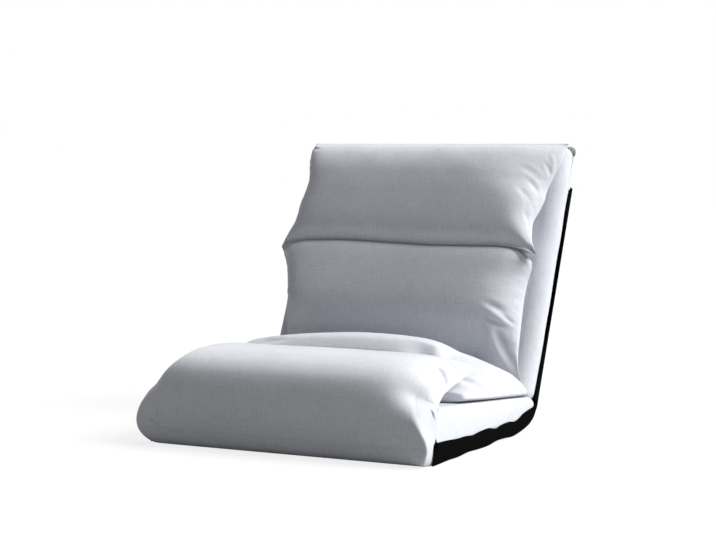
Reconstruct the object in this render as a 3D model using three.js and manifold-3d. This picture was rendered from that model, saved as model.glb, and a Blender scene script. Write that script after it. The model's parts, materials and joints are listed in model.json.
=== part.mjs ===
// A folding floor chair: a padded seat and back on a steel tube frame, joined at the
// rear corner by two ratchet hinges, with four stuffed cushions. The foot cushion lies
// folded back over the front of the seat.
import * as THREE from 'three'
import { mergeVertices } from 'three/addons/utils/BufferGeometryUtils.js'
import Module from 'manifold-3d'

const wasm = await Module()
wasm.setup()

// Driving sizes in millimetres. Depths run rearwards from the front edge of the side
// bands, heights run up from the floor, and reaches on the back run from the hinge axis.
const padWidth = 600
const bandHeight = 40
const bandThickness = 2.5
const clothThickness = 1.7
const foldHeight = 104
const rollRise = 85
const bolsterDepth = 45
const rollOverhang = { crease: 2, widest: 18, floor: -10 }
const hingeDepth = 456
const hingeHeight = 30
const knuckleRadius = 42
const seatRearTop = 68
const backRearOffset = 29.7
const backFrontOffset = 34
const backStart = 46
const backReach = 587
const flapHeight = 80
const reclineAngle = THREE.MathUtils.degToRad(24)
const gap = 0.3
const overrun = 5

// Frame tubes
const tubeRadius = 9.5
const tubeWall = 1.2
const tubeInset = 38
const cornerRadius = 45
const tubeSides = 12
const elbowSteps = 4
const seatTubeFront = 24
const seatTubeShort = 56
const seatCrossAhead = 48
const backTubeStart = 55
const backTubeShort = 39
const backCrossReach = 112

// Ratchet hinges
const plateThickness = 3
const cheekThickness = 2
const cheekRadius = 20
const cheekFront = 54
const cheekFrontHalf = 14
const gearTipRadius = 17
const gearRootRadius = 15.2
const toothCount = 14
const firstToothAngle = THREE.MathUtils.degToRad(130)
const toothPitch = THREE.MathUtils.degToRad(6.5)
const pivotRadius = 5
const pivotHeadRadius = 8
const rivetHeadHeight = 2
const rivetRadius = 2.5
const rivetHeadRadius = 4.4
const tongueHalf = 7.8
const tongueLength = 52
const pawlPin = { ahead: 24, below: 12 }
const pawlTip = { ahead: 11.3, below: 13.6 }
const pawlTail = 9
const pawlHalf = 2.5
const pawlPinRadius = 2

const halfWidth = padWidth / 2
const tubePlace = halfWidth - tubeInset
const seatTubeEnd = hingeDepth - seatTubeShort
const seatCrossDepth = seatTubeEnd - seatCrossAhead
const backTubeTop = backReach - backTubeShort
const blackClothReach = backReach - flapHeight

// Finishes
const finish = (color, roughness, metalness = 0) => (
  new THREE.MeshStandardMaterial({ color, roughness, metalness })
)
const linen = finish('#c9ccd2', 0.9)
const blackCloth = finish('#121213', 0.85)
const foam = finish('#d8d2bd', 0.95)
const paintedTube = finish('#2b2c2e', 0.45, 0.6)
const zincSteel = finish('#a9adb1', 0.35, 0.9)
const springSteel = finish('#5f646a', 0.3, 0.9)
const webbing = finish('#1c1c1e', 0.8)

const chair = new THREE.Group()
const seat = new THREE.Group()
const back = new THREE.Group()
back.position.set(0, hingeDepth, hingeHeight)
back.rotation.x = -reclineAngle
chair.add(seat, back)

function add(group, name, geometry, material) {
  const mesh = new THREE.Mesh(geometry, material)
  mesh.name = name
  group.add(mesh)
  return mesh
}

// Solids and booleans

function toSolid(geometry) {
  const bare = geometry.clone()
  bare.deleteAttribute('normal')
  bare.deleteAttribute('uv')
  const merged = mergeVertices(bare, gap / 1000)
  return new wasm.Manifold(new wasm.Mesh({
    numProp: 3,
    vertProperties: new Float32Array(merged.attributes.position.array),
    triVerts: new Uint32Array(merged.index.array),
  }))
}

function toGeometry(solid) {
  const mesh = solid.getMesh()
  const geometry = new THREE.BufferGeometry()
  geometry.setAttribute('position', new THREE.BufferAttribute(mesh.vertProperties, 3))
  geometry.setIndex(new THREE.BufferAttribute(mesh.triVerts, 1))
  return geometry
}

const cut = (geometry, ...tools) => (
  toGeometry(tools.reduce((solid, tool) => solid.subtract(toSolid(tool)), toSolid(geometry)))
)

function block(low, high) {
  const size = high.map((value, axis) => value - low[axis])
  const middle = high.map((value, axis) => (value + low[axis]) / 2)
  return new THREE.BoxGeometry(...size).translate(...middle)
}

// An outline in depth and height, extruded along the width of the chair
function across(shape, from, to, bevel = 0, steps = 8) {
  const geometry = new THREE.ExtrudeGeometry(shape, {
    depth: to - from - 2 * bevel,
    bevelEnabled: bevel > 0,
    bevelSize: bevel,
    bevelOffset: -bevel,
    bevelThickness: bevel,
    bevelSegments: 2,
    curveSegments: steps,
  })
  const turn = new THREE.Matrix4().makeBasis(
    new THREE.Vector3(0, 1, 0),
    new THREE.Vector3(0, 0, 1),
    new THREE.Vector3(1, 0, 0),
  )
  return geometry.applyMatrix4(turn).translate(from + bevel, 0, 0)
}

const outline = (points) => new THREE.Shape(points.map(([depth, height]) => (
  new THREE.Vector2(depth, height)
)))

// A rod along the width, with a head at each end
function rivet(from, to, radius, headRadius, depth, height) {
  const profile = [
    [0, from - rivetHeadHeight],
    [headRadius, from - rivetHeadHeight],
    [headRadius, from],
    [radius, from],
    [radius, to],
    [headRadius, to],
    [headRadius, to + rivetHeadHeight],
    [0, to + rivetHeadHeight],
  ].map(([reach, along]) => new THREE.Vector2(reach, along))
  return new THREE.LatheGeometry(profile, tubeSides)
    .rotateZ(-Math.PI / 2)
    .translate(0, depth, height)
}

const crossHole = (radius, from, to, depth, height) => (
  new THREE.CylinderGeometry(radius, radius, to - from, tubeSides)
    .rotateZ(Math.PI / 2)
    .translate((from + to) / 2, depth, height)
)

// Tubes

function ringShape(radius, wall) {
  const shape = new THREE.Shape().absarc(0, 0, radius, 0, 2 * Math.PI)
  if (wall > 0) {
    shape.holes.push(new THREE.Path().absarc(0, 0, radius - wall, 0, 2 * Math.PI, true))
  }
  return shape
}

function straightTube(start, end, radius = tubeRadius, wall = tubeWall) {
  const run = new THREE.Vector3(...end).sub(new THREE.Vector3(...start))
  const geometry = new THREE.ExtrudeGeometry(ringShape(radius, wall), {
    depth: run.length(),
    bevelEnabled: false,
    curveSegments: tubeSides / 2,
  })
  const turn = new THREE.Quaternion().setFromUnitVectors(
    new THREE.Vector3(0, 0, 1),
    run.clone().normalize(),
  )
  return geometry.applyQuaternion(turn).translate(...start)
}

// A quarter bend from one side tube to the cross tube at its end
class Elbow extends THREE.Curve {
  constructor(centre, first, second, radius) {
    super()
    Object.assign(this, { centre, first, second, radius })
  }

  getPoint(share, target = new THREE.Vector3()) {
    const angle = share * Math.PI / 2
    return target.copy(this.centre)
      .addScaledVector(this.first, this.radius * Math.cos(angle))
      .addScaledVector(this.second, this.radius * Math.sin(angle))
  }
}

function elbow(centre, first, second, radius = tubeRadius, wall = tubeWall) {
  const path = new Elbow(
    new THREE.Vector3(...centre),
    new THREE.Vector3(...first),
    new THREE.Vector3(...second),
    cornerRadius,
  )
  return new THREE.ExtrudeGeometry(ringShape(radius, wall), {
    steps: elbowSteps,
    extrudePath: path,
    curveSegments: tubeSides / 2,
    bevelEnabled: false,
  })
}

// A stuffed form between two sheets that meet in a seam all round. Each sheet is a
// function of two shares from -1 to 1, along the width and across it.
function stuffed(columns, rows, upper, lower) {
  const spread = (index, count) => Math.sin((index / count - 0.5) * Math.PI)
  const positions = []
  const faces = []
  const number = { upper: [], lower: [] }
  for (let column = 0; column <= columns; column += 1) {
    for (let row = 0; row <= rows; row += 1) {
      const place = [spread(column, columns), spread(row, rows)]
      const onRim = column === 0 || column === columns || row === 0 || row === rows
      const key = column * (rows + 1) + row
      number.upper[key] = positions.length / 3
      positions.push(...upper(...place))
      number.lower[key] = number.upper[key]
      if (!onRim) {
        number.lower[key] = positions.length / 3
        positions.push(...lower(...place))
      }
    }
  }
  for (let column = 0; column < columns; column += 1) {
    for (let row = 0; row < rows; row += 1) {
      const corners = [[0, 0], [1, 0], [1, 1], [0, 1]].map(([right, on]) => (
        (column + right) * (rows + 1) + row + on
      ))
      const [a, b, c, d] = corners.map((key) => number.upper[key])
      const [e, f, g, h] = corners.map((key) => number.lower[key])
      const flip = (column < columns / 2) !== (row < rows / 2)
      if (flip) {
        faces.push(a, b, d, b, c, d, e, h, f, f, h, g)
      } else {
        faces.push(a, b, c, a, c, d, e, g, f, e, h, g)
      }
    }
  }
  const geometry = new THREE.BufferGeometry()
  geometry.setAttribute('position', new THREE.Float32BufferAttribute(positions, 3))
  geometry.setIndex(faces)
  return geometry
}

// A crown that is full in the middle and round at both ends
const crown = (share, fullness, roundness) => (
  Math.max(0, 1 - Math.abs(share) ** fullness) ** (1 / roundness)
)

// A smooth profile through hand-placed shares of a length and of a height
function profile(shares) {
  const curve = new THREE.CatmullRomCurve3(
    shares.map(([along, rise]) => new THREE.Vector3(along, rise, 0)),
    false,
    'centripetal',
  )
  const samples = curve.getPoints(shares.length * 12)
  return (along) => {
    const next = samples.findIndex((point) => point.x >= along)
    if (next < 0) return samples[samples.length - 1].y
    if (next === 0) return samples[0].y
    const [before, after] = [samples[next - 1], samples[next]]
    return before.y + (after.y - before.y) * (along - before.x) / (after.x - before.x)
  }
}

// Seat: black bottom cloth, side bands and the cloth behind the hinge

// The rear of the seat is round about the hinge axis, and flat where it meets the floor
const knuckleShares = [[-90, 0], [-62, 0.28], [-30, 0.74], [0, 1], [22, 1.15]]
const knucklePoints = (inward) => knuckleShares.map(([degrees, share]) => {
  const angle = THREE.MathUtils.degToRad(degrees)
  const radius = hingeHeight + share * (knuckleRadius - hingeHeight) - inward
  return [hingeDepth + radius * Math.cos(angle), hingeHeight + radius * Math.sin(angle)]
})

function hingeCloth() {
  const outer = knucklePoints(0)
  const inner = knucklePoints(clothThickness).reverse()
  const trim = gap / knuckleRadius
  outer[0][0] += hingeHeight * trim
  inner[inner.length - 1][0] += hingeHeight * trim
  return across(outline([...outer, ...inner]), gap - halfWidth, halfWidth - gap)
}

add(seat, 'bottom_cloth', block(
  [-halfWidth, 0, 0],
  [halfWidth, hingeDepth, clothThickness],
), blackCloth)
add(seat, 'hinge_cloth', hingeCloth(), blackCloth)

// The bands stand on the bottom cloth and close the sides of the seat
const bandRear = Math.sqrt(knuckleRadius ** 2 - (bandHeight - hingeHeight) ** 2)
const bandOutline = () => {
  const low = clothThickness + gap
  const arc = knucklePoints(clothThickness + gap).filter(([, height]) => height > low)
  return outline([
    [0, low],
    [hingeDepth, low],
    ...arc.filter(([, height]) => height < bandHeight),
    [hingeDepth + bandRear - clothThickness, bandHeight],
    [0, bandHeight],
  ])
}
for (const [side, sign] of [['left', -1], ['right', 1]]) {
  const from = sign > 0 ? halfWidth - bandThickness : -halfWidth
  add(seat, `side_band_${side}`, across(bandOutline(), from, from + bandThickness), blackCloth)
}

// Frame of the seat
const cornerCentre = tubePlace - cornerRadius
const seatBendEnd = seatTubeFront + cornerRadius
for (const [side, sign] of [['left', -1], ['right', 1]]) {
  const drilled = cut(
    straightTube(
      [sign * tubePlace, seatBendEnd + gap, hingeHeight],
      [sign * tubePlace, seatTubeEnd, hingeHeight],
    ),
    crossHole(
      rivetRadius + gap,
      sign * tubePlace - tubeRadius - overrun,
      sign * tubePlace + tubeRadius + overrun,
      seatTubeEnd - tongueLength / 2,
      hingeHeight,
    ),
  )
  add(seat, `seat_side_tube_${side}`, drilled, paintedTube)
  add(seat, `seat_corner_tube_${side}`, elbow(
    [sign * cornerCentre, seatBendEnd, hingeHeight],
    [sign, 0, 0],
    [0, -1, 0],
  ), paintedTube)
}
add(seat, 'seat_front_tube', straightTube(
  [gap - cornerCentre, seatTubeFront, hingeHeight],
  [cornerCentre - gap, seatTubeFront, hingeHeight],
), paintedTube)
const crossEnd = tubePlace - tubeRadius - gap
add(seat, 'seat_cross_tube', straightTube(
  [-crossEnd, seatCrossDepth, hingeHeight],
  [crossEnd, seatCrossDepth, hingeHeight],
), paintedTube)

// Frame of the back, in its own upright frame: rearwards is +Y and upwards is +Z
const backBendStart = backTubeTop - cornerRadius
for (const [side, sign] of [['left', -1], ['right', 1]]) {
  const drilled = cut(
    straightTube(
      [sign * tubePlace, 0, backTubeStart],
      [sign * tubePlace, 0, backBendStart - gap],
    ),
    crossHole(
      rivetRadius + gap,
      sign * tubePlace - tubeRadius - overrun,
      sign * tubePlace + tubeRadius + overrun,
      0,
      backTubeStart + tongueLength / 2,
    ),
  )
  add(back, `back_side_tube_${side}`, drilled, paintedTube)
  add(back, `back_corner_tube_${side}`, elbow(
    [sign * cornerCentre, 0, backBendStart],
    [sign, 0, 0],
    [0, 0, 1],
  ), paintedTube)
}
add(back, 'back_top_tube', straightTube(
  [gap - cornerCentre, 0, backTubeTop],
  [cornerCentre - gap, 0, backTubeTop],
), paintedTube)
add(back, 'back_cross_tube', straightTube(
  [-crossEnd, 0, backCrossReach],
  [crossEnd, 0, backCrossReach],
), paintedTube)

// Webbing straps across the back, hooked round the side tubes
const strapThickness = 2
const strapWidth = 50
const strapReturn = 30
const strapCount = 4
const strapClear = 12
const strapFirst = 150
const strapPitch = (backBendStart + strapClear - strapWidth - strapFirst) / (strapCount - 1)
const hookSteps = 6
const strapBend = (tubeRadius + gap) / Math.cos(Math.PI / 2 / hookSteps)
const strapFace = strapBend + strapThickness
function strap(low) {
  const arc = (radius, sign, start, end) => {
    const points = []
    for (let step = 0; step <= hookSteps; step += 1) {
      const angle = start + (end - start) * step / hookSteps
      points.push([sign * (tubePlace + radius * Math.cos(angle)), radius * Math.sin(angle)])
    }
    return points
  }
  const quarter = Math.PI / 2
  const points = [
    ...arc(strapFace, 1, -quarter, quarter),
    [tubePlace - strapReturn, strapFace],
    [tubePlace - strapReturn, strapBend],
    ...arc(strapBend, 1, quarter, -quarter),
    ...arc(strapBend, -1, -quarter, quarter),
    [strapReturn - tubePlace, strapBend],
    [strapReturn - tubePlace, strapFace],
    ...arc(strapFace, -1, quarter, -quarter),
  ]
  return new THREE.ExtrudeGeometry(outline(points), { depth: strapWidth, bevelEnabled: false })
    .translate(0, 0, low)
}
const strapLows = Array.from({ length: strapCount }, (_, index) => (
  strapFirst + index * strapPitch
))
strapLows.forEach((low, index) => {
  add(back, `back_strap_${index + 1}`, strap(low), webbing)
})

// Ratchet hinges. Plates lie side by side along the width: cheek, gear, cheek.
const fromAxis = (ahead, above) => [hingeDepth - ahead, hingeHeight + above]
const plateHalf = plateThickness / 2
const cheekInner = plateHalf + gap
const cheekOuter = cheekInner + cheekThickness
const headAhead = { near: 32, step: 45, far: hingeDepth - seatTubeEnd - gap }
const headAbove = { near: 6, far: 12 }
const headBelow = { near: 5.5, far: 14 }
const cheekRivet = { ahead: (headAhead.step + headAhead.far) / 2, above: 7 }
const holeGap = gap / 2
// A hole that a round pin turns in clears the corners of both
const turningHole = (radius) => (radius + holeGap) / Math.cos(Math.PI / tubeSides)

function cheekShape() {
  const shape = new THREE.Shape()
  const [frontDepth] = fromAxis(cheekFront, 0)
  shape.moveTo(frontDepth, hingeHeight - cheekFrontHalf)
  shape.lineTo(hingeDepth, hingeHeight - cheekRadius)
  shape.absarc(hingeDepth, hingeHeight, cheekRadius, -Math.PI / 2, Math.PI / 2)
  shape.lineTo(frontDepth, hingeHeight + cheekFrontHalf)
  shape.closePath()
  return shape
}

// The lower arm: a tongue in the seat tube and a head held between the cheeks
function lowerArmShape() {
  return outline([
    fromAxis(headAhead.far + tongueLength, -tongueHalf),
    fromAxis(headAhead.far + gap, -tongueHalf),
    fromAxis(headAhead.far, -tongueHalf),
    fromAxis(headAhead.far, -headBelow.far),
    fromAxis(headAhead.step, -headBelow.far),
    fromAxis(headAhead.step, -headBelow.near),
    fromAxis(headAhead.near, -headBelow.near),
    fromAxis(headAhead.near, headAbove.near),
    fromAxis(headAhead.step, headAbove.near),
    fromAxis(headAhead.step, headAbove.far),
    fromAxis(headAhead.far, headAbove.far),
    fromAxis(headAhead.far, tongueHalf),
    fromAxis(headAhead.far + tongueLength, tongueHalf),
  ])
}

// The upper arm: saw teeth round the lower front of the gear, and a tongue up the tube
function upperArmShape() {
  const polar = (radius, angle) => [radius * Math.sin(angle), radius * Math.cos(angle)]
  const neckAngle = Math.asin(tongueHalf / gearTipRadius)
  const tongueTop = backTubeStart + tongueLength
  const points = [[tongueHalf, tongueTop], [-tongueHalf, tongueTop]]
  const plain = (from, to, count) => {
    for (let step = 0; step <= count; step += 1) {
      points.push(polar(gearTipRadius, -(from + (to - from) * step / count)))
    }
  }
  plain(neckAngle, firstToothAngle - toothPitch, 5)
  for (let tooth = 0; tooth < toothCount; tooth += 1) {
    const angle = firstToothAngle + tooth * toothPitch
    points.push(polar(gearRootRadius, -angle))
    points.push(polar(gearTipRadius, -(angle + toothPitch * 0.8)))
  }
  plain(firstToothAngle + toothCount * toothPitch, 2 * Math.PI - neckAngle, 7)
  return outline(points)
}

function pawlShape() {
  const tip = fromAxis(pawlTip.ahead, -pawlTip.below)
  const pin = fromAxis(pawlPin.ahead, -pawlPin.below)
  const shape = new THREE.Shape()
  shape.moveTo(pin[0] - pawlTail, pin[1] - pawlHalf)
  shape.lineTo(pin[0], pin[1] - 2 * pawlHalf)
  shape.lineTo(tip[0] - pawlHalf, tip[1] - pawlHalf)
  shape.lineTo(tip[0], tip[1])
  shape.lineTo(tip[0] - 2 * pawlHalf, tip[1] + pawlHalf / 2)
  shape.lineTo(pin[0], pin[1] + 2 * pawlHalf)
  shape.lineTo(pin[0] - pawlTail, pin[1] + pawlHalf)
  shape.closePath()
  return shape
}

// A bent leaf between the arm's head and the pawl's tail
const leafThickness = 0.6
function springShape() {
  const top = -headBelow.near - gap
  const low = -pawlPin.below + pawlHalf * 1.25 + gap
  const far = headAhead.step - gap
  const near = headAhead.near
  return outline([
    fromAxis(far, top),
    fromAxis(far, top - leafThickness),
    fromAxis((far + near) / 2, top - leafThickness),
    fromAxis(near, low),
    fromAxis(near - leafThickness, low),
    fromAxis((far + near) / 2, top),
  ])
}

for (const [side, sign] of [['left', -1], ['right', 1]]) {
  const middle = sign * tubePlace
  const between = (near, far) => [middle + Math.min(near, far), middle + Math.max(near, far)]
  const hole = (radius, ahead, above) => (
    crossHole(radius + holeGap, middle - tubeInset, middle + tubeInset, ...fromAxis(ahead, above))
  )
  const cheekHoles = () => [
    hole(pivotRadius, 0, 0),
    hole(pawlPinRadius, pawlPin.ahead, -pawlPin.below),
    hole(rivetRadius, cheekRivet.ahead, cheekRivet.above),
    hole(rivetRadius, cheekRivet.ahead, -cheekRivet.above),
  ]
  for (const [place, facing] of [['inner', -sign], ['outer', sign]]) {
    const plate = across(cheekShape(), ...between(facing * cheekInner, facing * cheekOuter))
    add(seat, `hinge_cheek_${place}_${side}`, cut(plate, ...cheekHoles()), zincSteel)
  }
  const lowerArm = cut(
    across(lowerArmShape(), middle - plateHalf, middle + plateHalf),
    hole(rivetRadius, cheekRivet.ahead, cheekRivet.above),
    hole(rivetRadius, cheekRivet.ahead, -cheekRivet.above),
    hole(rivetRadius, hingeDepth - seatTubeEnd + tongueLength / 2, 0),
  )
  add(seat, `hinge_lower_arm_${side}`, lowerArm, zincSteel)
  const upperArm = cut(
    across(upperArmShape(), middle - plateHalf, middle + plateHalf),
    crossHole(turningHole(pivotRadius), middle - tubeInset, middle + tubeInset, 0, 0),
    crossHole(
      rivetRadius + holeGap,
      middle - tubeInset,
      middle + tubeInset,
      0,
      backTubeStart + tongueLength / 2,
    ),
  )
  add(back, `hinge_upper_arm_${side}`, upperArm, zincSteel)
  const pawl = cut(
    across(pawlShape(), middle - plateHalf, middle + plateHalf),
    crossHole(
      turningHole(pawlPinRadius),
      middle - tubeInset,
      middle + tubeInset,
      ...fromAxis(pawlPin.ahead, -pawlPin.below),
    ),
  )
  add(seat, `pawl_${side}`, pawl, springSteel)
  const leaf = across(springShape(), middle - plateHalf, middle + plateHalf)
  add(seat, `pawl_spring_${side}`, leaf, springSteel)
  const stack = [middle - cheekOuter - gap, middle + cheekOuter + gap]
  add(seat, `pivot_rivet_${side}`, rivet(
    ...stack,
    pivotRadius,
    pivotHeadRadius,
    ...fromAxis(0, 0),
  ), zincSteel)
  add(seat, `pawl_pin_${side}`, rivet(
    ...stack,
    pawlPinRadius,
    rivetHeadRadius,
    ...fromAxis(pawlPin.ahead, -pawlPin.below),
  ), zincSteel)
  for (const [name, above] of [['upper', cheekRivet.above], ['lower', -cheekRivet.above]]) {
    add(seat, `cheek_rivet_${name}_${side}`, rivet(
      ...stack,
      rivetRadius,
      rivetHeadRadius,
      ...fromAxis(cheekRivet.ahead, above),
    ), zincSteel)
  }
  const tubeFaces = [middle - tubeRadius - gap, middle + tubeRadius + gap]
  add(seat, `seat_tube_rivet_${side}`, rivet(
    ...tubeFaces,
    rivetRadius,
    rivetHeadRadius,
    seatTubeEnd - tongueLength / 2,
    hingeHeight,
  ), zincSteel)
  add(back, `back_tube_rivet_${side}`, rivet(
    ...tubeFaces,
    rivetRadius,
    rivetHeadRadius,
    0,
    backTubeStart + tongueLength / 2,
  ), zincSteel)
}

// Foam under and round the seat frame, with grooves for the tubes and a slot at each hinge
const slotHalf = 14
const slotFront = seatTubeEnd - gap
const foamHalf = halfWidth - bandThickness - gap
const hingeSlots = (low, high, start) => [-1, 1].map((sign) => block(
  [sign * tubePlace - slotHalf, start, low],
  [sign * tubePlace + slotHalf, hingeDepth + knuckleRadius + overrun, high],
))
const grooveRadius = tubeRadius + gap

function seatCore() {
  const low = clothThickness + gap
  const rear = knucklePoints(clothThickness + gap).filter(([, height]) => (
    height > low && height < bandHeight
  ))
  const body = across(outline([
    [gap, low],
    [hingeDepth, low],
    ...rear,
    [hingeDepth + bandRear - clothThickness, bandHeight],
    [gap, bandHeight],
  ]), -foamHalf, foamHalf)
  const rising = bandHeight - hingeHeight + overrun
  const grooves = []
  const rivetClear = grooveRadius + rivetHeadHeight + gap
  const groove = (from, to) => straightTube(from, to, grooveRadius, 0)
  for (const sign of [-1, 1]) {
    const place = sign * tubePlace
    const bendOuter = place + sign * grooveRadius
    const bendInner = sign * (cornerCentre - overrun)
    grooves.push(
      groove([place, seatBendEnd, hingeHeight], [place, seatTubeEnd, hingeHeight]),
      block(
        [place - grooveRadius, seatBendEnd, hingeHeight],
        [place + grooveRadius, seatTubeEnd, hingeHeight + rising],
      ),
      block(
        [place - rivetClear, seatTubeEnd - tongueLength, hingeHeight - grooveRadius],
        [place + rivetClear, seatTubeEnd, hingeHeight + rising],
      ),
      block(
        [
          Math.min(bendOuter, bendInner),
          seatTubeFront - grooveRadius,
          hingeHeight - grooveRadius,
        ],
        [
          Math.max(bendOuter, bendInner),
          seatBendEnd + overrun,
          hingeHeight + rising,
        ],
      ),
    )
  }
  for (const depth of [seatTubeFront, seatCrossDepth]) {
    grooves.push(
      groove([-tubePlace, depth, hingeHeight], [tubePlace, depth, hingeHeight]),
      block(
        [-tubePlace, depth - grooveRadius, hingeHeight],
        [tubePlace, depth + grooveRadius, hingeHeight + rising],
      ),
    )
  }
  return cut(body, ...grooves, ...hingeSlots(-overrun, bandHeight + overrun, slotFront))
}
add(seat, 'seat_core', seatCore(), foam)

// Upper seat pad: a wedge that thins towards the rear and rounds about the hinge
const padEdge = 6
const padSlope = (foldHeight - seatRearTop) / hingeDepth
const padTop = (depth) => foldHeight - gap - padSlope * depth
function seatPad() {
  const low = bandHeight + gap
  const rearTop = padTop(hingeDepth)
  const shape = new THREE.Shape()
  const radius = knuckleRadius - clothThickness - gap
  const start = Math.asin((low - hingeHeight) / radius)
  const end = Math.asin(Math.min(rearTop - hingeHeight, radius) / radius)
  shape.absarc(hingeDepth, hingeHeight, radius, start, end)
  shape.lineTo(hingeDepth, rearTop)
  shape.lineTo(gap, padTop(0))
  shape.lineTo(gap, low)
  return cut(
    across(shape, -halfWidth, halfWidth, padEdge, 1),
    ...hingeSlots(0, foldHeight, slotFront),
  )
}
add(seat, 'seat_pad', seatPad(), linen)

// Front bolster: the lower half of the front roll, down to the floor
function frontBolster() {
  const half = foldHeight / 2
  const widest = -0.35
  const reach = (rise) => {
    const above = rise > widest
    const end = above ? rollOverhang.crease : rollOverhang.floor
    const share = above ? (rise - widest) / (1 - widest) : (widest - rise) / (1 + widest)
    return halfWidth + rollOverhang.widest - (rollOverhang.widest - end) * share ** 2
  }
  const point = (along, rise, depth) => [
    along * reach(rise),
    -gap - depth,
    half * (1 + rise) - gap * rise,
  ]
  const bulge = (along, rise) => {
    const upright = rise > 0 ? crown(rise, 14, 2) : crown(rise, 5, 4)
    return (bolsterDepth - gap) * crown(along, 7, 2.2) * upright
  }
  return stuffed(
    20,
    10,
    (along, rise) => point(along, rise, bulge(along, rise)),
    (along, rise) => point(along, rise, 0),
  )
}
add(seat, 'front_bolster', frontBolster(), linen)

// Rear seat cushion: its thin front edge runs under the foot cushion
const rearCushionFront = 6
const rearCushionShort = 10
const rearCushionInset = 2
const rearCushionRear = hingeDepth - rearCushionShort
const rearCushionHalf = halfWidth - rearCushionInset
const foldSlope = 0.155
const foldLine = (depth) => foldHeight + foldSlope * Math.max(0, depth)
const footReach = 252
const ridgeBehind = 33
const ridgeRise = 91
const ridgeStart = footReach + ridgeBehind
const ridgeHeight = foldHeight + ridgeRise
const rearRiseShares = [
  [-1, 0], [-0.9, 0.06], [-0.6, 0.16], [-0.3, 0.27], [0, 0.42], [0.12, 0.6], [0.2, 0.78],
  [0.28, 0.92], [0.38, 0.985], [0.48, 1], [0.62, 0.88], [0.76, 0.58], [0.88, 0.28],
  [0.96, 0.1], [1, 0],
]
function rearSeatCushion() {
  const rise = profile(rearRiseShares)
  const middle = (rearCushionFront + rearCushionRear) / 2
  const half = (rearCushionRear - rearCushionFront) / 2
  const reach = (run) => rearCushionHalf * (1 - 0.03 * (1 - run ** 2))
  const fullHeight = ridgeHeight - padTop(middle + half / 2)
  const place = (along, run, lift) => {
    const depth = middle + half * run
    return [along * reach(run), depth, padTop(depth) + gap + lift]
  }
  const thick = (along, run) => {
    const depth = middle + half * run
    const free = fullHeight * rise(run) * (0.3 + 0.7 * crown(along, 5, 1.7)) * crown(along, 14, 2)
    const under = foldLine(depth) - padTop(depth) - 3 * gap
    return depth < ridgeStart ? Math.min(free, Math.max(under, 0) * crown(along, 14, 2)) : free
  }
  return stuffed(
    18,
    20,
    (along, run) => place(along, run, thick(along, run)),
    (along, run) => place(along, run, 0),
  )
}
add(seat, 'rear_seat_cushion', rearSeatCushion(), linen)

// Foot cushion, folded over the seat about the front of the crease
function footCushion() {
  const front = gap - bolsterDepth
  const middle = (front + footReach) / 2
  const half = (footReach - front) / 2
  const ends = halfWidth + rollOverhang.crease
  const reach = (run) => ends * (1 - 0.035 * (run + 1) - 0.02 * (1 - run ** 2))
  const chord = (depth) => foldHeight + gap + foldSlope * Math.max(0, depth)
  const cornerBack = (along, run) => (
    (bolsterDepth - gap) * Math.abs(along) ** 9 * Math.max(0, (1 - run) / 2) ** 3
  )
  const place = (along, run, lift) => {
    const depth = middle + half * run + cornerBack(along, run)
    return [along * reach(run), depth, chord(depth) + lift]
  }
  const swell = (along, run) => {
    const depth = middle + half * run
    const top = foldHeight + rollRise - chord(Math.max(depth, 0))
    const leaning = run > 0 ? 1 - 0.12 * run : 1
    const across = (0.2 + 0.8 * crown(along, 8, 1.5)) * crown(along, 16, 2)
    return top * leaning * crown(run, 3, 2.6) * across
  }
  return stuffed(
    22,
    14,
    (along, run) => place(along, run, swell(along, run)),
    (along, run) => place(along, run, 0),
  )
}
add(seat, 'foot_cushion', footCushion(), linen)

// Back: foam core behind the frame, pad in front of it, cloth over the rear
const recessClear = 13
const recessHalf = tubePlace + recessClear
const recessTop = backTubeTop + tubeRadius + 3 * gap
const coreRear = backRearOffset - clothThickness - gap

function backPad() {
  const shape = outline([
    [coreRear, backStart],
    [coreRear, backReach],
    [-backFrontOffset, backReach],
    [-backFrontOffset, backStart],
  ].reverse())
  const body = across(shape, -halfWidth, halfWidth, padEdge * 1.6)
  return cut(body, block(
    [-recessHalf, -strapFace - gap, backStart - overrun],
    [recessHalf, coreRear + overrun, recessTop],
  ))
}
add(back, 'back_pad', backPad(), linen)

function backCore() {
  const half = recessHalf - gap
  const top = recessTop - gap
  const body = block([-half, -tubeRadius, backStart], [half, coreRear, top])
  const clear = tubeRadius + overrun
  const pockets = [
    straightTube([-tubePlace, 0, backCrossReach], [tubePlace, 0, backCrossReach], grooveRadius, 0),
    block(
      [-tubePlace, -clear, backCrossReach - grooveRadius],
      [tubePlace, 0, backCrossReach + grooveRadius],
    ),
    block(
      [-half - overrun, -clear, backTubeTop - grooveRadius],
      [half + overrun, grooveRadius, top + overrun],
    ),
  ]
  for (const sign of [-1, 1]) {
    const inner = sign * (tubePlace - strapReturn - gap)
    const outer = sign * (half + overrun)
    const bendInner = sign * (cornerCentre - overrun)
    const deep = strapFace + gap
    pockets.push(
      block(
        [sign * tubePlace - slotHalf, -clear, backStart - overrun],
        [sign * tubePlace + slotHalf, grooveRadius, top + overrun],
      ),
      block(
        [Math.min(bendInner, outer), -clear, backBendStart - grooveRadius],
        [Math.max(bendInner, outer), grooveRadius, top + overrun],
      ),
    )
    for (const low of strapLows) {
      pockets.push(block(
        [Math.min(inner, outer), -clear, low - gap],
        [Math.max(inner, outer), deep, low + strapWidth + gap],
      ))
    }
  }
  return cut(body, ...pockets)
}
add(back, 'back_core', backCore(), foam)

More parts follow.
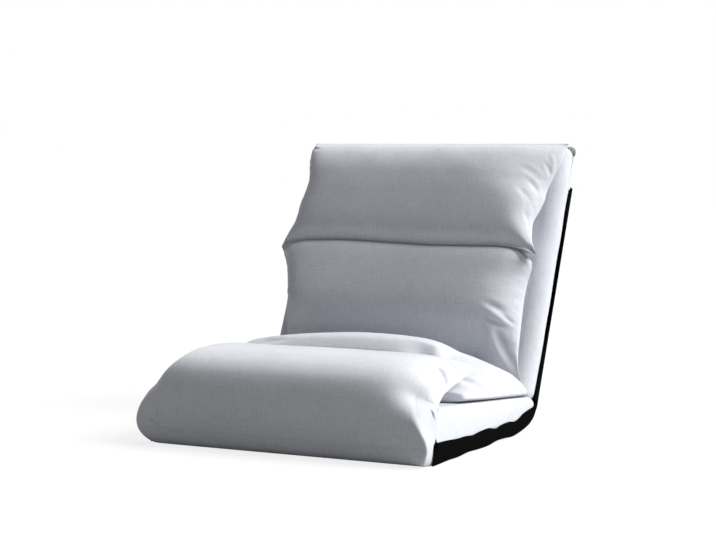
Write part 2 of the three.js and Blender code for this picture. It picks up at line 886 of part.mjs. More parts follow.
const sheet = (half, low, high) => (
  block([-half, backRearOffset - clothThickness, low], [half, backRearOffset, high])
)
const clothHalf = halfWidth - 2 * bandThickness
const backClothStart = 34
add(back, 'back_cloth', sheet(clothHalf, backClothStart, blackClothReach), blackCloth)
add(back, 'rear_flap', sheet(clothHalf, blackClothReach + gap, backReach - padEdge), linen)

// Pinched corners of the cover at the top of the back
const earSize = { across: 13, deep: 9, high: 12 }
const earSides = 12
for (const [side, sign] of [['left', -1], ['right', 1]]) {
  const ear = new THREE.SphereGeometry(1, earSides, earSides)
    .scale(earSize.across, earSize.deep, earSize.high)
    .translate(
      sign * (halfWidth - padEdge * 2),
      backRearOffset - earSize.deep,
      backReach + earSize.high + gap,
    )
  add(back, `corner_ear_${side}`, ear, linen)
}

// Back cushions, from hand-placed profiles along the back. Their seams stand off the
// back pad, most of all at the neck, and their sides are drawn in between the corners.
const cushionInset = 3
const cushionHalf = halfWidth - cushionInset
const cushionCrown = 92
const drawnShare = 0.075
const lumbarLow = 52
const neckShare = 0.542
const neckReach = backReach * neckShare
const headRise = 3
const headTop = backReach + headRise
const lumbarShares = [
  [-1, 0.05], [-0.9, 0.12], [-0.6, 0.38], [-0.45, 0.56], [-0.3, 0.74], [-0.1, 0.91],
  [0.1, 0.985], [0.3, 1], [0.6, 0.98], [1, 0.92],
]
const headShares = [
  [-1, 0.93], [-0.6, 1], [-0.2, 1.02], [0.15, 1], [0.38, 0.95], [0.55, 0.86], [0.7, 0.73],
  [0.82, 0.565], [0.92, 0.34], [1, 0.06],
]
const lumbarSeamShares = [[-1, 0.06], [-0.3, 0.15], [0.33, 0.2], [0.64, 0.28], [1, 0.65]]
const headSeamShares = [[-1, 0.74], [-0.5, 0.5], [0, 0.26], [0.5, 0.17], [1, 0.06]]
function backCushion(low, high, shares, seamShares) {
  const rise = profile(shares)
  const seam = profile(seamShares)
  const middle = (low + high) / 2
  const half = (high - low) / 2
  const reach = (run) => cushionHalf * (1 - drawnShare * (1 - run ** 2))
  const place = (along, run, lift) => (
    [along * reach(run), -backFrontOffset - gap - lift, middle + half * run]
  )
  const rim = (along, run) => (
    cushionCrown * seam(run) * Math.max(Math.abs(along) ** 12, Math.abs(run) ** 12)
  )
  const swell = (along, run) => {
    const base = rim(along, run)
    const full = cushionCrown * rise(run) * (0.9 + 0.1 * crown(along, 3, 1.7))
    return base + Math.max(0, full - base) * crown(along, 8, 2) * crown(run, 14, 2.4)
  }
  return stuffed(
    20,
    16,
    (along, run) => place(along, run, swell(along, run)),
    (along, run) => place(along, run, rim(along, run)),
  )
}
add(back, 'lumbar_cushion', backCushion(
  lumbarLow,
  neckReach - gap,
  lumbarShares,
  lumbarSeamShares,
), linen)
add(back, 'head_cushion', backCushion(neckReach, headTop, headShares, headSeamShares), linen)

// The origin is under the middle of the chair, on the floor
chair.updateMatrixWorld(true)
const bounds = new THREE.Box3().setFromObject(chair, true)
const centre = bounds.getCenter(new THREE.Vector3())
chair.position.set(-centre.x, -centre.y, -bounds.min.z)
chair.updateMatrixWorld(true)

export default chair
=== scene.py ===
"""Looks of a folding floor chair: stuffed linen cushions on a padded seat and back, black
cloth below and behind, and a steel frame with ratchet hinges inside. Metres throughout."""

import json
import math

import bpy
import numpy as np
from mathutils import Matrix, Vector


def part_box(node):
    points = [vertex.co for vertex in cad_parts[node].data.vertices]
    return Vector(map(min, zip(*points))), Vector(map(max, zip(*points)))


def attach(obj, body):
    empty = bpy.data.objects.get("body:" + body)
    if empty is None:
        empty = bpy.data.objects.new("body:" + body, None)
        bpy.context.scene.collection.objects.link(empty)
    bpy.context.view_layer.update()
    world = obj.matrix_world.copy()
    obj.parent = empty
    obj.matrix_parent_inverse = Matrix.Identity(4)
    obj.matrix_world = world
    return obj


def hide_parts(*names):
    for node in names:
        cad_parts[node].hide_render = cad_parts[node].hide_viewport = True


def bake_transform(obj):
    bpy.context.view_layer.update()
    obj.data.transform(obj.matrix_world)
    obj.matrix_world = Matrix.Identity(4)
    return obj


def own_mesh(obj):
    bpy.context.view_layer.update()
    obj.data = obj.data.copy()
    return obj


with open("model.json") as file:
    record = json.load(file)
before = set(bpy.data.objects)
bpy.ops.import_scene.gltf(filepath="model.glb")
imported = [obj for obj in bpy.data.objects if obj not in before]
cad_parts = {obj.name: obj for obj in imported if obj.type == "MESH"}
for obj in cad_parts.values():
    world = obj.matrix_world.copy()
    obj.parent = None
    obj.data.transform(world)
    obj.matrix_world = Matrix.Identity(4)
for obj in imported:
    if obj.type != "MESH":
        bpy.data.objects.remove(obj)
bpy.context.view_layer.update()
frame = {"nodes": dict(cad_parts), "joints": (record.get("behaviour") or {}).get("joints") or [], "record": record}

# Places taken from the frame. Depth runs rearwards from the front edge of the side bands.
JOINTS = {joint["name"]: joint for joint in frame["joints"]}
HINGE = np.array(JOINTS["recline"]["pos_m"])
CREASE = np.array(JOINTS["foot_fold"]["pos_m"])
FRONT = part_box("side_band_right")[0].y
HALF_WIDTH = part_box("bottom_cloth")[1].x
HINGE_DEPTH = HINGE[1] - FRONT
LEAN = math.radians(24)  # of the back, at rest
FOLD_HEIGHT = CREASE[2]
FOLD_SLOPE = 0.155  # of the folded front cushion's underside
SEAT_REAR_TOP = 0.068  # height of the seat pad at the hinge
PAD_SLOPE = (FOLD_HEIGHT - SEAT_REAR_TOP) / HINGE_DEPTH
# In the back's own frame, rearwards and upwards from the hinge
BACK_FRONT = -0.034
BACK_REAR = 0.0297
BACK_TOP = 0.587
NECK = 0.318  # where the lumbar and head cushions meet
CUSHION_CROWN = 0.092  # how far the fullest part stands off the pad
CLOTH_TOP = 0.507  # where the black cloth ends under the light flap
GAP = 0.0003  # between a cushion and what it rests on
HINGE_COVER = 0.0385  # radius of the seat's cover round the hinge
SKIRT_RADIUS = 0.0405  # radius of the black cloth round the hinge, where it meets the back
SIDES = (("left", -1), ("right", 1))


# Curves and grids

def spread(count):
    """Shares from -1 to 1 that crowd towards both ends: the sine of half a turn of evenly
    spaced angles."""
    return np.sin(np.linspace(-0.5, 0.5, count + 1) * np.pi)


def points_of(*parts):
    """Points or pairs from one array for each coordinate; a single number fills its place."""
    return np.stack(np.broadcast_arrays(*parts), axis=-1)


def rimmed_grid(across, along):
    """Shares from -1 to 1 both ways, crowded towards the rim."""
    return np.meshgrid(spread(across), spread(along), indexing="ij")


def even_grid(across, along):
    """Even shares, from -1 to 1 across and from 0 to 1 along."""
    return np.meshgrid(np.linspace(-1, 1, across), np.linspace(0, 1, along), indexing="ij")


def ramp(value, start, end):
    """0 up to start, 1 from end on, and a straight line between them."""
    return np.clip((value - start) / (end - start), 0, 1)


def eased(share):
    """A share from 0 to 1 whose change starts and stops gently."""
    return share**2 * (3 - 2 * share)


def bell(value, middle, width):
    """1 in the middle, falling to nothing on both sides."""
    return np.exp(-(((value - middle) / width) ** 2))


def crown(share, fullness, roundness):
    """1 in the middle and 0 at -1 and 1: (1 - |share|^fullness)^(1 / roundness)."""
    return np.maximum(0, 1 - np.abs(share) ** fullness) ** (1 / roundness)


def through(points):
    """A cubic curve through points (place, value), with each slope taken from the
    neighbouring points. Returns value as a function of place."""
    table = np.array(points, float)
    x, y = table[:, 0], table[:, 1:]
    slope = np.gradient(y, x, axis=0)

    def curve(at):
        at = np.clip(at, x[0], x[-1])
        k = np.clip(np.searchsorted(x, at) - 1, 0, len(x) - 2)
        step = x[k + 1] - x[k]
        t = ((at - x[k]) / step)[..., None]
        step = step[..., None]
        value = (
            (1 + 2 * t) * (1 - t) ** 2 * y[k]
            + t * (1 - t) ** 2 * step * slope[k]
            + t**2 * (3 - 2 * t) * y[k + 1]
            + t**2 * (t - 1) * step * slope[k + 1]
        )
        return value[..., 0] if value.shape[-1] == 1 else value

    return curve


def ripple(place, wavelength, seed, count=5):
    """Slow irregular waves: the mean of sines with wavelengths near the given one and
    seeded phases."""
    shortest, longest = 0.6, 1.7
    rng = np.random.default_rng(seed)
    total = np.zeros_like(place)
    for _ in range(count):
        length = wavelength * rng.uniform(shortest, longest)
        total += np.sin(2 * np.pi * place / length + rng.uniform(0, 2 * np.pi))
    return total / count


def lumps(across, along, size, seed):
    """Soft unevenness of a filling: products of slow waves in both directions."""
    first = ripple(across + 0.35 * along, size, seed) * ripple(along - 0.2 * across, size, seed + 1)
    second = ripple(across - 0.5 * along, 1.6 * size, seed + 2)
    return first + 0.6 * second


def normals_of(points):
    """Unit normals of a grid of points: the cross product of its two gradients."""
    first = np.gradient(points, axis=0)
    second = np.gradient(points, axis=1)
    normal = np.cross(first, second)
    length = np.linalg.norm(normal, axis=-1, keepdims=True)
    return normal / np.maximum(length, 1e-12)


def embossed(points, bumps, axis, sense=1):
    """A grid of points moved along its normals, which are turned so that the middle one
    points up the axis, or down it where sense is -1."""
    normal = normals_of(points)
    facing = np.sign(normal[points.shape[0] // 2, points.shape[1] // 2, axis])
    return points + normal * bumps[..., None] * facing * sense


def lengths_of(points):
    """Distances along the grid lines of both axes, measured from their middle."""
    lengths = []
    for axis in (0, 1):
        step = np.linalg.norm(np.diff(points, axis=axis), axis=-1)
        start = np.zeros_like(np.take(step, [0], axis=axis))
        total = np.concatenate([start, np.cumsum(step, axis=axis)], axis=axis)
        middle = total.shape[axis] // 2
        lengths.append(total - np.take(total, [middle], axis=axis))
    return lengths


def creases(across, along, table):
    """Folds pressed into cloth. Each row is a start, a middle and an end point on the cloth,
    a width and a depth: a valley along the curve through them, with a low ridge on both
    sides, that fades towards both ends."""
    steps = 32
    ridge_share, ridge_place, ridge_width = 0.45, 1.9, 0.9
    total = np.zeros_like(across)
    for start, middle, end, width, depth in table:
        t = np.linspace(0, 1, steps + 1)[:, None]
        start, middle, end = (np.array(p) for p in (start, middle, end))
        line = (1 - t) ** 2 * start + 2 * t * (1 - t) * middle + t**2 * end
        near = np.full(across.shape, 1e9)
        share = np.zeros(across.shape)
        for k, (px, py) in enumerate(line):
            away = (across - px) ** 2 + (along - py) ** 2
            closer = away < near
            near = np.where(closer, away, near)
            share = np.where(closer, k / steps, share)
        near = np.sqrt(near) / width
        fade = np.sin(np.pi * np.clip(share, 0.02, 0.98)) ** 0.7
        valley = bell(near, 0, 1) - ridge_share * bell(near, ridge_place, ridge_width)
        total -= depth * fade * valley
    return total


# Meshes

def make_mesh(name, points, faces, uvs=None):
    """A mesh object from an array of points, a list of faces and the UV of each corner."""
    mesh = bpy.data.meshes.new(name)
    mesh.from_pydata(points.tolist(), [], faces)
    if uvs is not None:
        layer = mesh.uv_layers.new(name="cloth")
        layer.data.foreach_set("uv", np.asarray(uvs, np.float32).ravel())
    mesh.polygons.foreach_set("use_smooth", np.ones(len(mesh.polygons), bool))
    mesh.update()
    obj = bpy.data.objects.new(name, mesh)
    bpy.context.scene.collection.objects.link(obj)
    return obj


def quads(index):
    """Corner indices of the quads of a grid of point numbers."""
    a, b = index[:-1, :-1], index[1:, :-1]
    c, d = index[1:, 1:], index[:-1, 1:]
    return points_of(a, b, c, d).reshape(-1, 4)


def two_sheets(name, upper, lower):
    """A closed form of two grids of points that share their rim, as two cut cloths share
    their seam. Its UV map holds distances along each cloth."""
    n, m = upper.shape[:2]
    top = np.arange(n * m).reshape(n, m)
    low = top.copy()
    low[1:-1, 1:-1] = n * m + np.arange((n - 2) * (m - 2)).reshape(n - 2, m - 2)
    points = np.concatenate([upper.reshape(-1, 3), lower[1:-1, 1:-1].reshape(-1, 3)])
    faces = np.concatenate([quads(top), quads(low)[:, ::-1]])
    both = []
    for sheet, offset in ((upper, 0.0), (lower, 2.0)):
        cloth = points_of(*lengths_of(sheet)) + (offset, 0.0)
        corners = quads(top)
        if offset:
            corners = corners[:, ::-1]
        both.append(cloth.reshape(-1, 2)[corners].reshape(-1, 2))
    obj = make_mesh(name, points, faces.tolist(), np.concatenate(both))
    rim = np.zeros((n, m), bool)
    rim[[0, -1], :] = rim[:, [0, -1]] = True
    on_rim = np.concatenate([rim.ravel(), np.zeros(len(points) - n * m, bool)])
    ends = np.zeros(len(obj.data.edges) * 2, np.int32)
    obj.data.edges.foreach_get("vertices", ends)
    obj.data.edges.foreach_set("use_edge_sharp", on_rim[ends.reshape(-1, 2)].all(axis=1))
    return obj


def thick_sheet(name, points, thickness):
    """A closed sheet: a grid of points moved both ways along its normals by half of the
    thickness, with walls round the rim."""
    half = normals_of(points) * thickness / 2
    outer, inner = points + half, points - half
    n, m = points.shape[:2]
    top = np.arange(n * m).reshape(n, m)
    low = top + n * m
    ring = np.concatenate([top[:, 0], top[-1, 1:], top[-2::-1, -1], top[0, -2:0:-1]])
    after = np.roll(ring, -1)
    walls = points_of(after, ring, ring + n * m, after + n * m)
    faces = np.concatenate([quads(top), quads(low)[:, ::-1], walls])
    cloth = points_of(*lengths_of(points)).reshape(-1, 2)
    cloth = np.concatenate([cloth, cloth + [3.0, 0.0]])
    return make_mesh(
        name,
        np.concatenate([outer.reshape(-1, 3), inner.reshape(-1, 3)]),
        faces.tolist(),
        cloth[faces].reshape(-1, 2),
    )


def loft(name, rings):
    """A closed form through closed rings of points, with a fan over the first and last."""
    count, around = rings.shape[:2]
    index = np.arange(count * around).reshape(count, around)
    index = np.concatenate([index, index[:, :1]], axis=1)
    faces = quads(index).tolist()
    points = rings.reshape(-1, 3)
    centres = np.stack([rings[0].mean(0), rings[-1].mean(0)])
    first, last = count * around, count * around + 1
    for k in range(around):
        faces.append([first, index[0, k], index[0, k + 1]])
        faces.append([last, index[-1, k + 1], index[-1, k]])
    closed = np.concatenate([rings, rings[:, :1]], axis=1)
    girth = np.concatenate([
        np.zeros((count, 1)),
        np.cumsum(np.linalg.norm(np.diff(closed, axis=1), axis=-1), axis=1),
    ], axis=1)
    rise = np.concatenate([
        [0],
        np.cumsum(np.linalg.norm(np.diff(rings, axis=0), axis=-1).max(axis=1)),
    ])
    cloth = points_of(girth, rise[:, None])
    grid = np.arange(count * (around + 1)).reshape(count, around + 1)
    side = cloth.reshape(-1, 2)[quads(grid)].reshape(-1, 2)
    caps = []
    for k in range(around):
        caps += [(0.01, rise[0]), cloth[0, k], cloth[0, k + 1]]
        caps += [(0.01, rise[-1]), cloth[-1, k + 1], cloth[-1, k]]
    return make_mesh(
        name,
        np.concatenate([points, centres]),
        faces,
        np.concatenate([side, np.array(caps)]),
    )


def on_back(points):
    """Points of the back's own frame (across, rearwards, up the back) in the row frame."""
    x, y, z = points[..., 0], points[..., 1], points[..., 2]
    return points_of(
        x,
        HINGE[1] + y * math.cos(LEAN) + z * math.sin(LEAN),
        HINGE[2] - y * math.sin(LEAN) + z * math.cos(LEAN),
    )


def on_seat(points):
    """Points given as (across, depth from the front edge, height) in the row frame."""
    return points + np.array([0.0, FRONT, 0.0])


def outwards(obj):
    """Turns the faces of a closed mesh outwards where its volume comes out negative."""
    mesh = obj.data
    points = np.zeros(len(mesh.vertices) * 3)
    mesh.vertices.foreach_get("co", points)
    points = points.reshape(-1, 3)
    mesh.calc_loop_triangles()
    corners = np.zeros(len(mesh.loop_triangles) * 3, int)
    mesh.loop_triangles.foreach_get("vertices", corners)
    a, b, c = (points[corners.reshape(-1, 3)[:, k]] for k in range(3))
    if np.einsum("ij,ij->i", a, np.cross(b, c)).sum() < 0:
        mesh.flip_normals()
    return obj


# Finishes

class Socket:
    """One output socket, with Python's operators adding Math nodes."""

    def __init__(self, nodes, link):
        self.nodes = nodes
        self.link = link

    def math(self, operation, *values):
        inputs = dict(enumerate((self, *values)))
        return self.nodes.node("Math", {"operation": operation}, inputs)

    def __add__(self, other):
        return self.math("ADD", other)

    def __mul__(self, other):
        return self.math("MULTIPLY", other)

    def __sub__(self, other):
        return self.math("SUBTRACT", other)

    def clamp(self):
        return self.nodes.node("Clamp", {}, {0: self})


def socket_name(key):
    """The shader's socket for a keyword: base_color is Base Color."""
    return key.replace("_", " ").title().replace("Ior", "IOR")


class Nodes:
    """The node tree of a material or a world, emptied and built node by node."""

    def __init__(self, owner):
        owner.use_nodes = True
        self.tree = owner.node_tree
        self.tree.nodes.clear()

    def node(self, kind, settings=None, inputs=None, output=0):
        """Adds a node: its type, its settings, the values or links of its sockets."""
        made = self.tree.nodes.new("ShaderNode" + kind)
        for key, value in (settings or {}).items():
            setattr(made, key, value)
        for key, value in (inputs or {}).items():
            if isinstance(value, Socket):
                self.tree.links.new(value.link, made.inputs[key])
            else:
                made.inputs[key].default_value = value
        return Socket(self, made.outputs[output]) if len(made.outputs) else None

    def seen(self):
        """1 for what the camera sees, directly, in a reflection or through something."""
        camera_ray, glossy_ray, transmission_ray = 0, 3, 6
        total = self.node("LightPath", output=camera_ray)
        for ray in (glossy_ray, transmission_ray):
            total = total + self.node("LightPath", output=ray)
        return total.clamp()


class Finish(Nodes):
    """A material. Its shader takes the constant values at the start and the linked ones at
    the end."""

    def __init__(self, name, **constants):
        self.material = bpy.data.materials.new(name)
        super().__init__(self.material)
        self.shader = self.tree.nodes.new("ShaderNodeBsdfPrincipled")
        self.output = self.tree.nodes.new("ShaderNodeOutputMaterial")
        self.tree.links.new(self.shader.outputs[0], self.output.inputs[0])
        for key, value in constants.items():
            self.shader.inputs[socket_name(key)].default_value = value

    def place(self, kind, scale):
        """Object or UV coordinates, stretched by a scale per axis."""
        source = self.node("TexCoord", output={"Object": 3, "UV": 2}[kind])
        return self.node("Mapping", {}, {"Vector": source, "Scale": scale})

    def noise(self, kind, scale, detail=2.0, roughness=0.5):
        """Noise on object or UV coordinates with a scale per axis."""
        return self.node("TexNoise", {}, {
            "Vector": self.place(kind, scale), "Scale": 1.0, "Detail": detail,
            "Roughness": roughness,
        })

    def blend(self, factor, first, second):
        """A colour between two, by a factor."""
        inputs = {0: factor}
        for key, value in ((6, first), (7, second)):
            inputs[key] = value if isinstance(value, Socket) else (*value, 1)
        return self.node("Mix", {"data_type": "RGBA"}, inputs, output=2)

    def bump(self, height, strength, distance):
        return self.node("Bump", {}, {
            "Height": height, "Strength": strength, "Distance": distance,
        })

    def shade(self, **links):
        for key, value in links.items():
            self.tree.links.new(value.link, self.shader.inputs[socket_name(key)])
        return self.material


def linen(name, light, dark):
    """Linen-like weave: long slubs along and across the cloth, fine threads, and a slow
    drift between two tones."""
    f = Finish(name, roughness=0.92, sheen_weight=0.4, sheen_roughness=0.35)
    warp = f.noise("UV", (420, 38, 40), 3.0, 0.6)
    weft = f.noise("UV", (34, 460, 40), 3.0, 0.6)
    slubs = warp * 0.5 + weft * 0.5
    threads = f.noise("UV", (900, 900, 900), 2.0, 0.5)
    drift = f.noise("Object", (5, 5, 5), 2.0, 0.5)
    tone = ((slubs - 0.5) * 2.4 + (threads - 0.5) * 0.5 + (drift - 0.5) * 0.5 + 0.5).clamp()
    colour = f.blend(tone, dark, light)
    height = slubs * 0.8 + threads * 0.3
    rough = slubs * 0.12 + 0.84
    return f.shade(
        base_color=colour,
        roughness=rough,
        normal=f.bump(height, 0.35, 0.0006),
    )


def black_cloth(name):
    """Matt black woven cloth with a faint fine grain."""
    f = Finish(name, roughness=0.85, specular_ior_level=0.01)
    warp = f.noise("UV", (900, 120, 60), 2.0, 0.6)
    weft = f.noise("UV", (120, 900, 60), 2.0, 0.6)
    grain = warp * 0.5 + weft * 0.5
    colour = f.blend(grain, (0.0010, 0.0010, 0.0011), (0.0032, 0.0032, 0.0034))
    return f.shade(
        base_color=colour,
        roughness=grain * 0.15 + 0.78,
        normal=f.bump(grain, 0.4, 0.0006),
    )


def painted_steel(name):
    """Satin black paint on tube: slight orange peel and a few lighter scuffs."""
    f = Finish(name, metallic=0.0, specular_ior_level=0.5)
    peel = f.noise("Object", (260, 260, 260), 2.0, 0.5)
    scuff = f.noise("Object", (30, 9, 30), 5.0, 0.7)
    worn = ((scuff - 0.62) * 9).clamp()
    colour = f.blend(worn, (0.016, 0.0165, 0.018), (0.07, 0.07, 0.072))
    return f.shade(
        base_color=colour,
        roughness=peel * 0.15 + worn * 0.2 + 0.3,
        normal=f.bump(peel, 0.12, 0.0004),
    )


def plated_steel(name, light, dark):
    """Plated or rolled steel: fine drawn lines and cloudy staining."""
    f = Finish(name, metallic=1.0)
    lines = f.noise("Object", (20, 260, 260), 4.0, 0.6)
    cloud = f.noise("Object", (35, 35, 35), 3.0, 0.5)
    tone = (lines * 0.5 + cloud * 0.7 - 0.1).clamp()
    return f.shade(
        base_color=f.blend(tone, dark, light),
        roughness=lines * 0.2 + cloud * 0.2 + 0.18,
        normal=f.bump(lines, 0.1, 0.0003),
    )


def webbing(name):
    """Flat woven strap: close ribs along the length."""
    f = Finish(name, roughness=0.8)
    ribs = f.node("TexWave", {"wave_type": "BANDS", "bands_direction": "X"}, {
        "Vector": f.place("Object", (1, 1, 1)), "Scale": 160.0, "Distortion": 1.5,
    })
    weave = f.noise("Object", (300, 1200, 1200), 2.0, 0.6)
    height = ribs * 0.7 + weave * 0.3
    return f.shade(
        base_color=f.blend(height, (0.006, 0.006, 0.0065), (0.02, 0.02, 0.022)),
        roughness=weave * 0.1 + 0.75,
        normal=f.bump(height, 0.5, 0.0008),
    )


COVER = linen("light grey linen", (0.70, 0.715, 0.755), (0.50, 0.515, 0.56))
# The pad covers use the same linen with a lighter dark tone: painted light on the pads' sides.
COVER_LIGHTENED = linen("light grey linen side", (0.70, 0.715, 0.755), (0.52, 0.535, 0.58))
# Dark grey-brown linen for the gathered corners: partly the black backing that shows there, partly painted shade
# in the gathers.
PINCH_SHADE = linen("gathered linen", (0.42, 0.41, 0.41), (0.2, 0.19, 0.19))
BLACK = black_cloth("black cloth")
SLOT_FINISH = {
    "painted_tube": painted_steel("satin black paint"),
    "zinc_plated_steel": plated_steel("zinc plate", (0.62, 0.64, 0.66), (0.4, 0.42, 0.44)),
    "spring_steel": plated_steel("spring steel", (0.26, 0.27, 0.29), (0.1, 0.11, 0.13)),
    "webbing": webbing("black webbing"),
}
for part in frame["record"]["subparts"]:
    if part["material_slot"] in SLOT_FINISH:
        node = frame["nodes"][part["node"]]
        node.data.materials.clear()
        node.data.materials.append(SLOT_FINISH[part["material_slot"]])


def dress(obj, finish, body, nodes=()):
    """Gives a finished piece its material, slot, body, and the CAD nodes it stands for."""
    outwards(obj)
    obj.data.materials.append(finish)
    if body:
        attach(obj, body)
    if nodes:
        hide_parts(*nodes)
    return obj


# Back cushions

LUMBAR_LOW = 0.052
HEAD_LOW = NECK - 0.004
HEAD_TOP = 0.584
# Along each cushion, from -1 at its lower end to 1 at its upper end: the rise of its middle,
# the height of its end seams, and below them its reach to the right and to the left
lumbar_rise = through([
    (-1, 0.05), (-0.9, 0.12), (-0.6, 0.38), (-0.45, 0.56), (-0.3, 0.74), (-0.1, 0.91),
    (0.1, 0.985), (0.3, 1), (0.6, 0.98), (1, 0.92),
])
head_rise = through([
    (-1, 0.93), (-0.6, 1), (-0.2, 1.02), (0.15, 1.0), (0.38, 0.95), (0.55, 0.86), (0.7, 0.73),
    (0.82, 0.565), (0.92, 0.34), (1, 0.04),
])
lumbar_seam = through([
    (-1, 0.06), (-0.62, 0.11), (-0.31, 0.15), (0, 0.175), (0.33, 0.2), (0.64, 0.26),
    (0.82, 0.37), (0.88, 0.44), (1, 0.65),
])
head_seam = through([
    (-1, 0.74), (-0.84, 0.68), (-0.63, 0.57), (-0.42, 0.46), (-0.2, 0.34), (0, 0.26),
    (0.15, 0.22), (0.4, 0.19), (0.7, 0.14), (1, 0.04),
])
# How far the line between the two cushions lies above its place at the sides, across the back
neck_lift = through([
    (-0.291, -0.0035), (-0.275, 0.0090), (-0.245, 0.0188), (-0.197, 0.0223), (-0.124, 0.0226),
    (-0.028, 0.0183), (0.065, 0.0147), (0.156, 0.0156), (0.223, 0.0175), (0.262, 0.0130),
    (0.285, 0.0030), (0.300, -0.0047),
])


def back_cushion(name, low, high, rise, seam, reach, left, fullness, folds, seed, puckers):
    """A cushion on the back: its height off the pad is rise(run) times a crown that gets
    fuller towards one end, falling to the seam's height at the rim. Its ends follow reach.
    Folds and puckers, cosines of the distance along the end seams, fade from the seam."""
    u, v = rimmed_grid(220, 130)
    width = np.where(u > 0, reach(v), left(v))
    middle, half = (low + high) / 2, (high - low) / 2
    base = CUSHION_CROWN * seam(v) * np.maximum(np.abs(u) ** 14, np.abs(v) ** 12)
    full = CUSHION_CROWN * rise(v) * (0.93 + 0.07 * crown(u, 3, 1.7))
    ends = crown(u, np.where(u > 0, fullness(v), 22), 2.1)
    lift = base + np.maximum(0, full - base) * ends * crown(v, 14, 2.4)
    neck_reach, unevenness, pucker_spacing, pucker_reach = 0.05, 0.0012, 0.024, 0.014
    near_neck = bell(middle + half * v, NECK, neck_reach)

    def place(lift):
        shift = neck_lift(u * width) * near_neck * lift / CUSHION_CROWN
        return points_of(
            u * width,
            BACK_FRONT - GAP - lift,
            middle + half * v + shift,
        )

    upper, lower = place(lift), place(base)
    across, along = lengths_of(upper)
    inner = crown(u, 10, 1) * crown(v, 10, 1)
    end = (1 - np.abs(u)) * width
    bumps = unevenness * lumps(across, along, 0.11, seed) * inner
    wave = np.cos(2 * np.pi * along / pucker_spacing + 3 * ripple(along, 0.12, seed + 7))
    fade = np.exp(-end / pucker_reach) * crown(v, 6, 1) * np.minimum(1, end / 0.003)
    bumps += puckers * wave * fade * (0.5 + 0.5 * ripple(along, 0.09, seed + 8))
    bumps += creases(across, along, folds) * np.minimum(1, end / 0.004)
    return two_sheets(name, on_back(embossed(upper, bumps, 1, -1)), on_back(lower))


lumbar_reach = through([
    (-1, 0.290), (-0.94, 0.2864), (-0.62, 0.2755), (-0.31, 0.2730), (0.01, 0.2715),
    (0.33, 0.2705), (0.64, 0.2745), (0.815, 0.2815), (0.88, 0.2815), (0.94, 0.273), (1, 0.260),
])
head_reach = through([
    (-1, 0.3010), (-0.84, 0.2860), (-0.635, 0.2770), (-0.425, 0.2725), (-0.217, 0.2775),
    (-0.03, 0.2815), (0.14, 0.2816), (0.41, 0.2911), (0.68, 0.3015), (1, 0.305),
])
lumbar_left = through([
    (-1, 0.275), (-0.46, 0.260), (-0.29, 0.259), (0.05, 0.262), (0.566, 0.278), (0.836, 0.292),
    (1, 0.299),
])
head_left = through([
    (-1, 0.293), (-0.883, 0.290), (-0.59, 0.278), (-0.32, 0.276), (0.158, 0.269), (0.5, 0.281),
    (0.89, 0.295), (1, 0.300),
])
lumbar_fullness = through([
    (-1, 6), (-0.6, 5), (-0.3, 5.5), (0, 6.5), (0.3, 7.5), (0.6, 9), (0.85, 14), (1, 18),
])
head_fullness = through([
    (-1, 22), (-0.8, 24), (-0.56, 21), (-0.26, 14), (0.04, 7.5), (0.3, 5), (1, 4.5),
])
# Start, middle and end on the cloth (across, along), width and depth; ridges are negative
HEAD_FOLDS = [
    ((0.236, 0.058), (0.262, 0.052), (0.284, 0.036), 0.0060, 0.0010),
    ((0.254, 0.030), (0.274, 0.020), (0.292, -0.002), 0.0050, 0.0016),
    ((0.240, 0.006), (0.264, -0.008), (0.278, -0.040), 0.0056, 0.0018),
    ((0.252, -0.006), (0.270, -0.020), (0.284, -0.050), 0.0044, -0.0012),
    ((0.264, -0.046), (0.278, -0.062), (0.288, -0.092), 0.0050, 0.0012),
    ((0.280, 0.080), (0.292, 0.070), (0.304, 0.050), 0.0040, 0.0014),
    ((0.286, 0.104), (0.300, 0.086), (0.306, 0.064), 0.0040, -0.0010),
    ((-0.300, 0.050), (-0.284, 0.062), (-0.262, 0.066), 0.0050, 0.0010),
    ((-0.300, -0.036), (-0.284, -0.030), (-0.262, -0.018), 0.0050, 0.0010),
    ((-0.296, 0.126), (-0.280, 0.112), (-0.256, 0.104), 0.0045, 0.0020),
]
LUMBAR_FOLDS = [
    ((0.206, 0.016), (0.236, 0.009), (0.262, 0.005), 0.0064, 0.0014),
    ((0.210, 0.004), (0.238, -0.008), (0.262, -0.021), 0.0072, -0.0036),
    ((0.214, -0.019), (0.240, -0.024), (0.264, -0.029), 0.0056, 0.0016),
    ((0.250, -0.007), (0.268, -0.013), (0.286, -0.015), 0.0038, 0.0016),
    ((0.260, 0.150), (0.277, 0.140), (0.296, 0.124), 0.0028, 0.0018),
    ((0.246, 0.141), (0.266, 0.131), (0.290, 0.114), 0.0030, -0.0036),
    ((0.222, -0.030), (0.222, -0.076), (0.264, -0.120), 0.0100, -0.0050),
    ((-0.292, 0.020), (-0.268, 0.014), (-0.246, 0.010), 0.0055, 0.0008),
    ((-0.296, 0.112), (-0.276, 0.106), (-0.254, 0.102), 0.0042, 0.0016),
]
lumbar = dress(
    back_cushion(
        "lumbar_pillow", LUMBAR_LOW, NECK - GAP, lumbar_rise, lumbar_seam, lumbar_reach,
        lumbar_left, lumbar_fullness, LUMBAR_FOLDS, 11, 0.0006,
    ),
    COVER, "back", ["lumbar_cushion"],
)
head = dress(
    back_cushion(
        "head_pillow", HEAD_LOW, HEAD_TOP, head_rise, head_seam, head_reach, head_left,
        head_fullness, HEAD_FOLDS, 23, 0.0006,
    ),
    COVER, "back", ["head_cushion"],
)
# The back cushions get meshes of their own; the anchor and the shares beside them are not used.
anchor = on_back(np.array([[0.0, BACK_FRONT, NECK]]))[0]
for cushion, keep in ((lumbar, 0.4), (head, 0.55)):
    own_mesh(cushion)


# Seat cushions

def pad_top(depth):
    """Height of the seat pad's top: it falls evenly from the crease to the hinge."""
    return FOLD_HEIGHT - GAP - PAD_SLOPE * depth


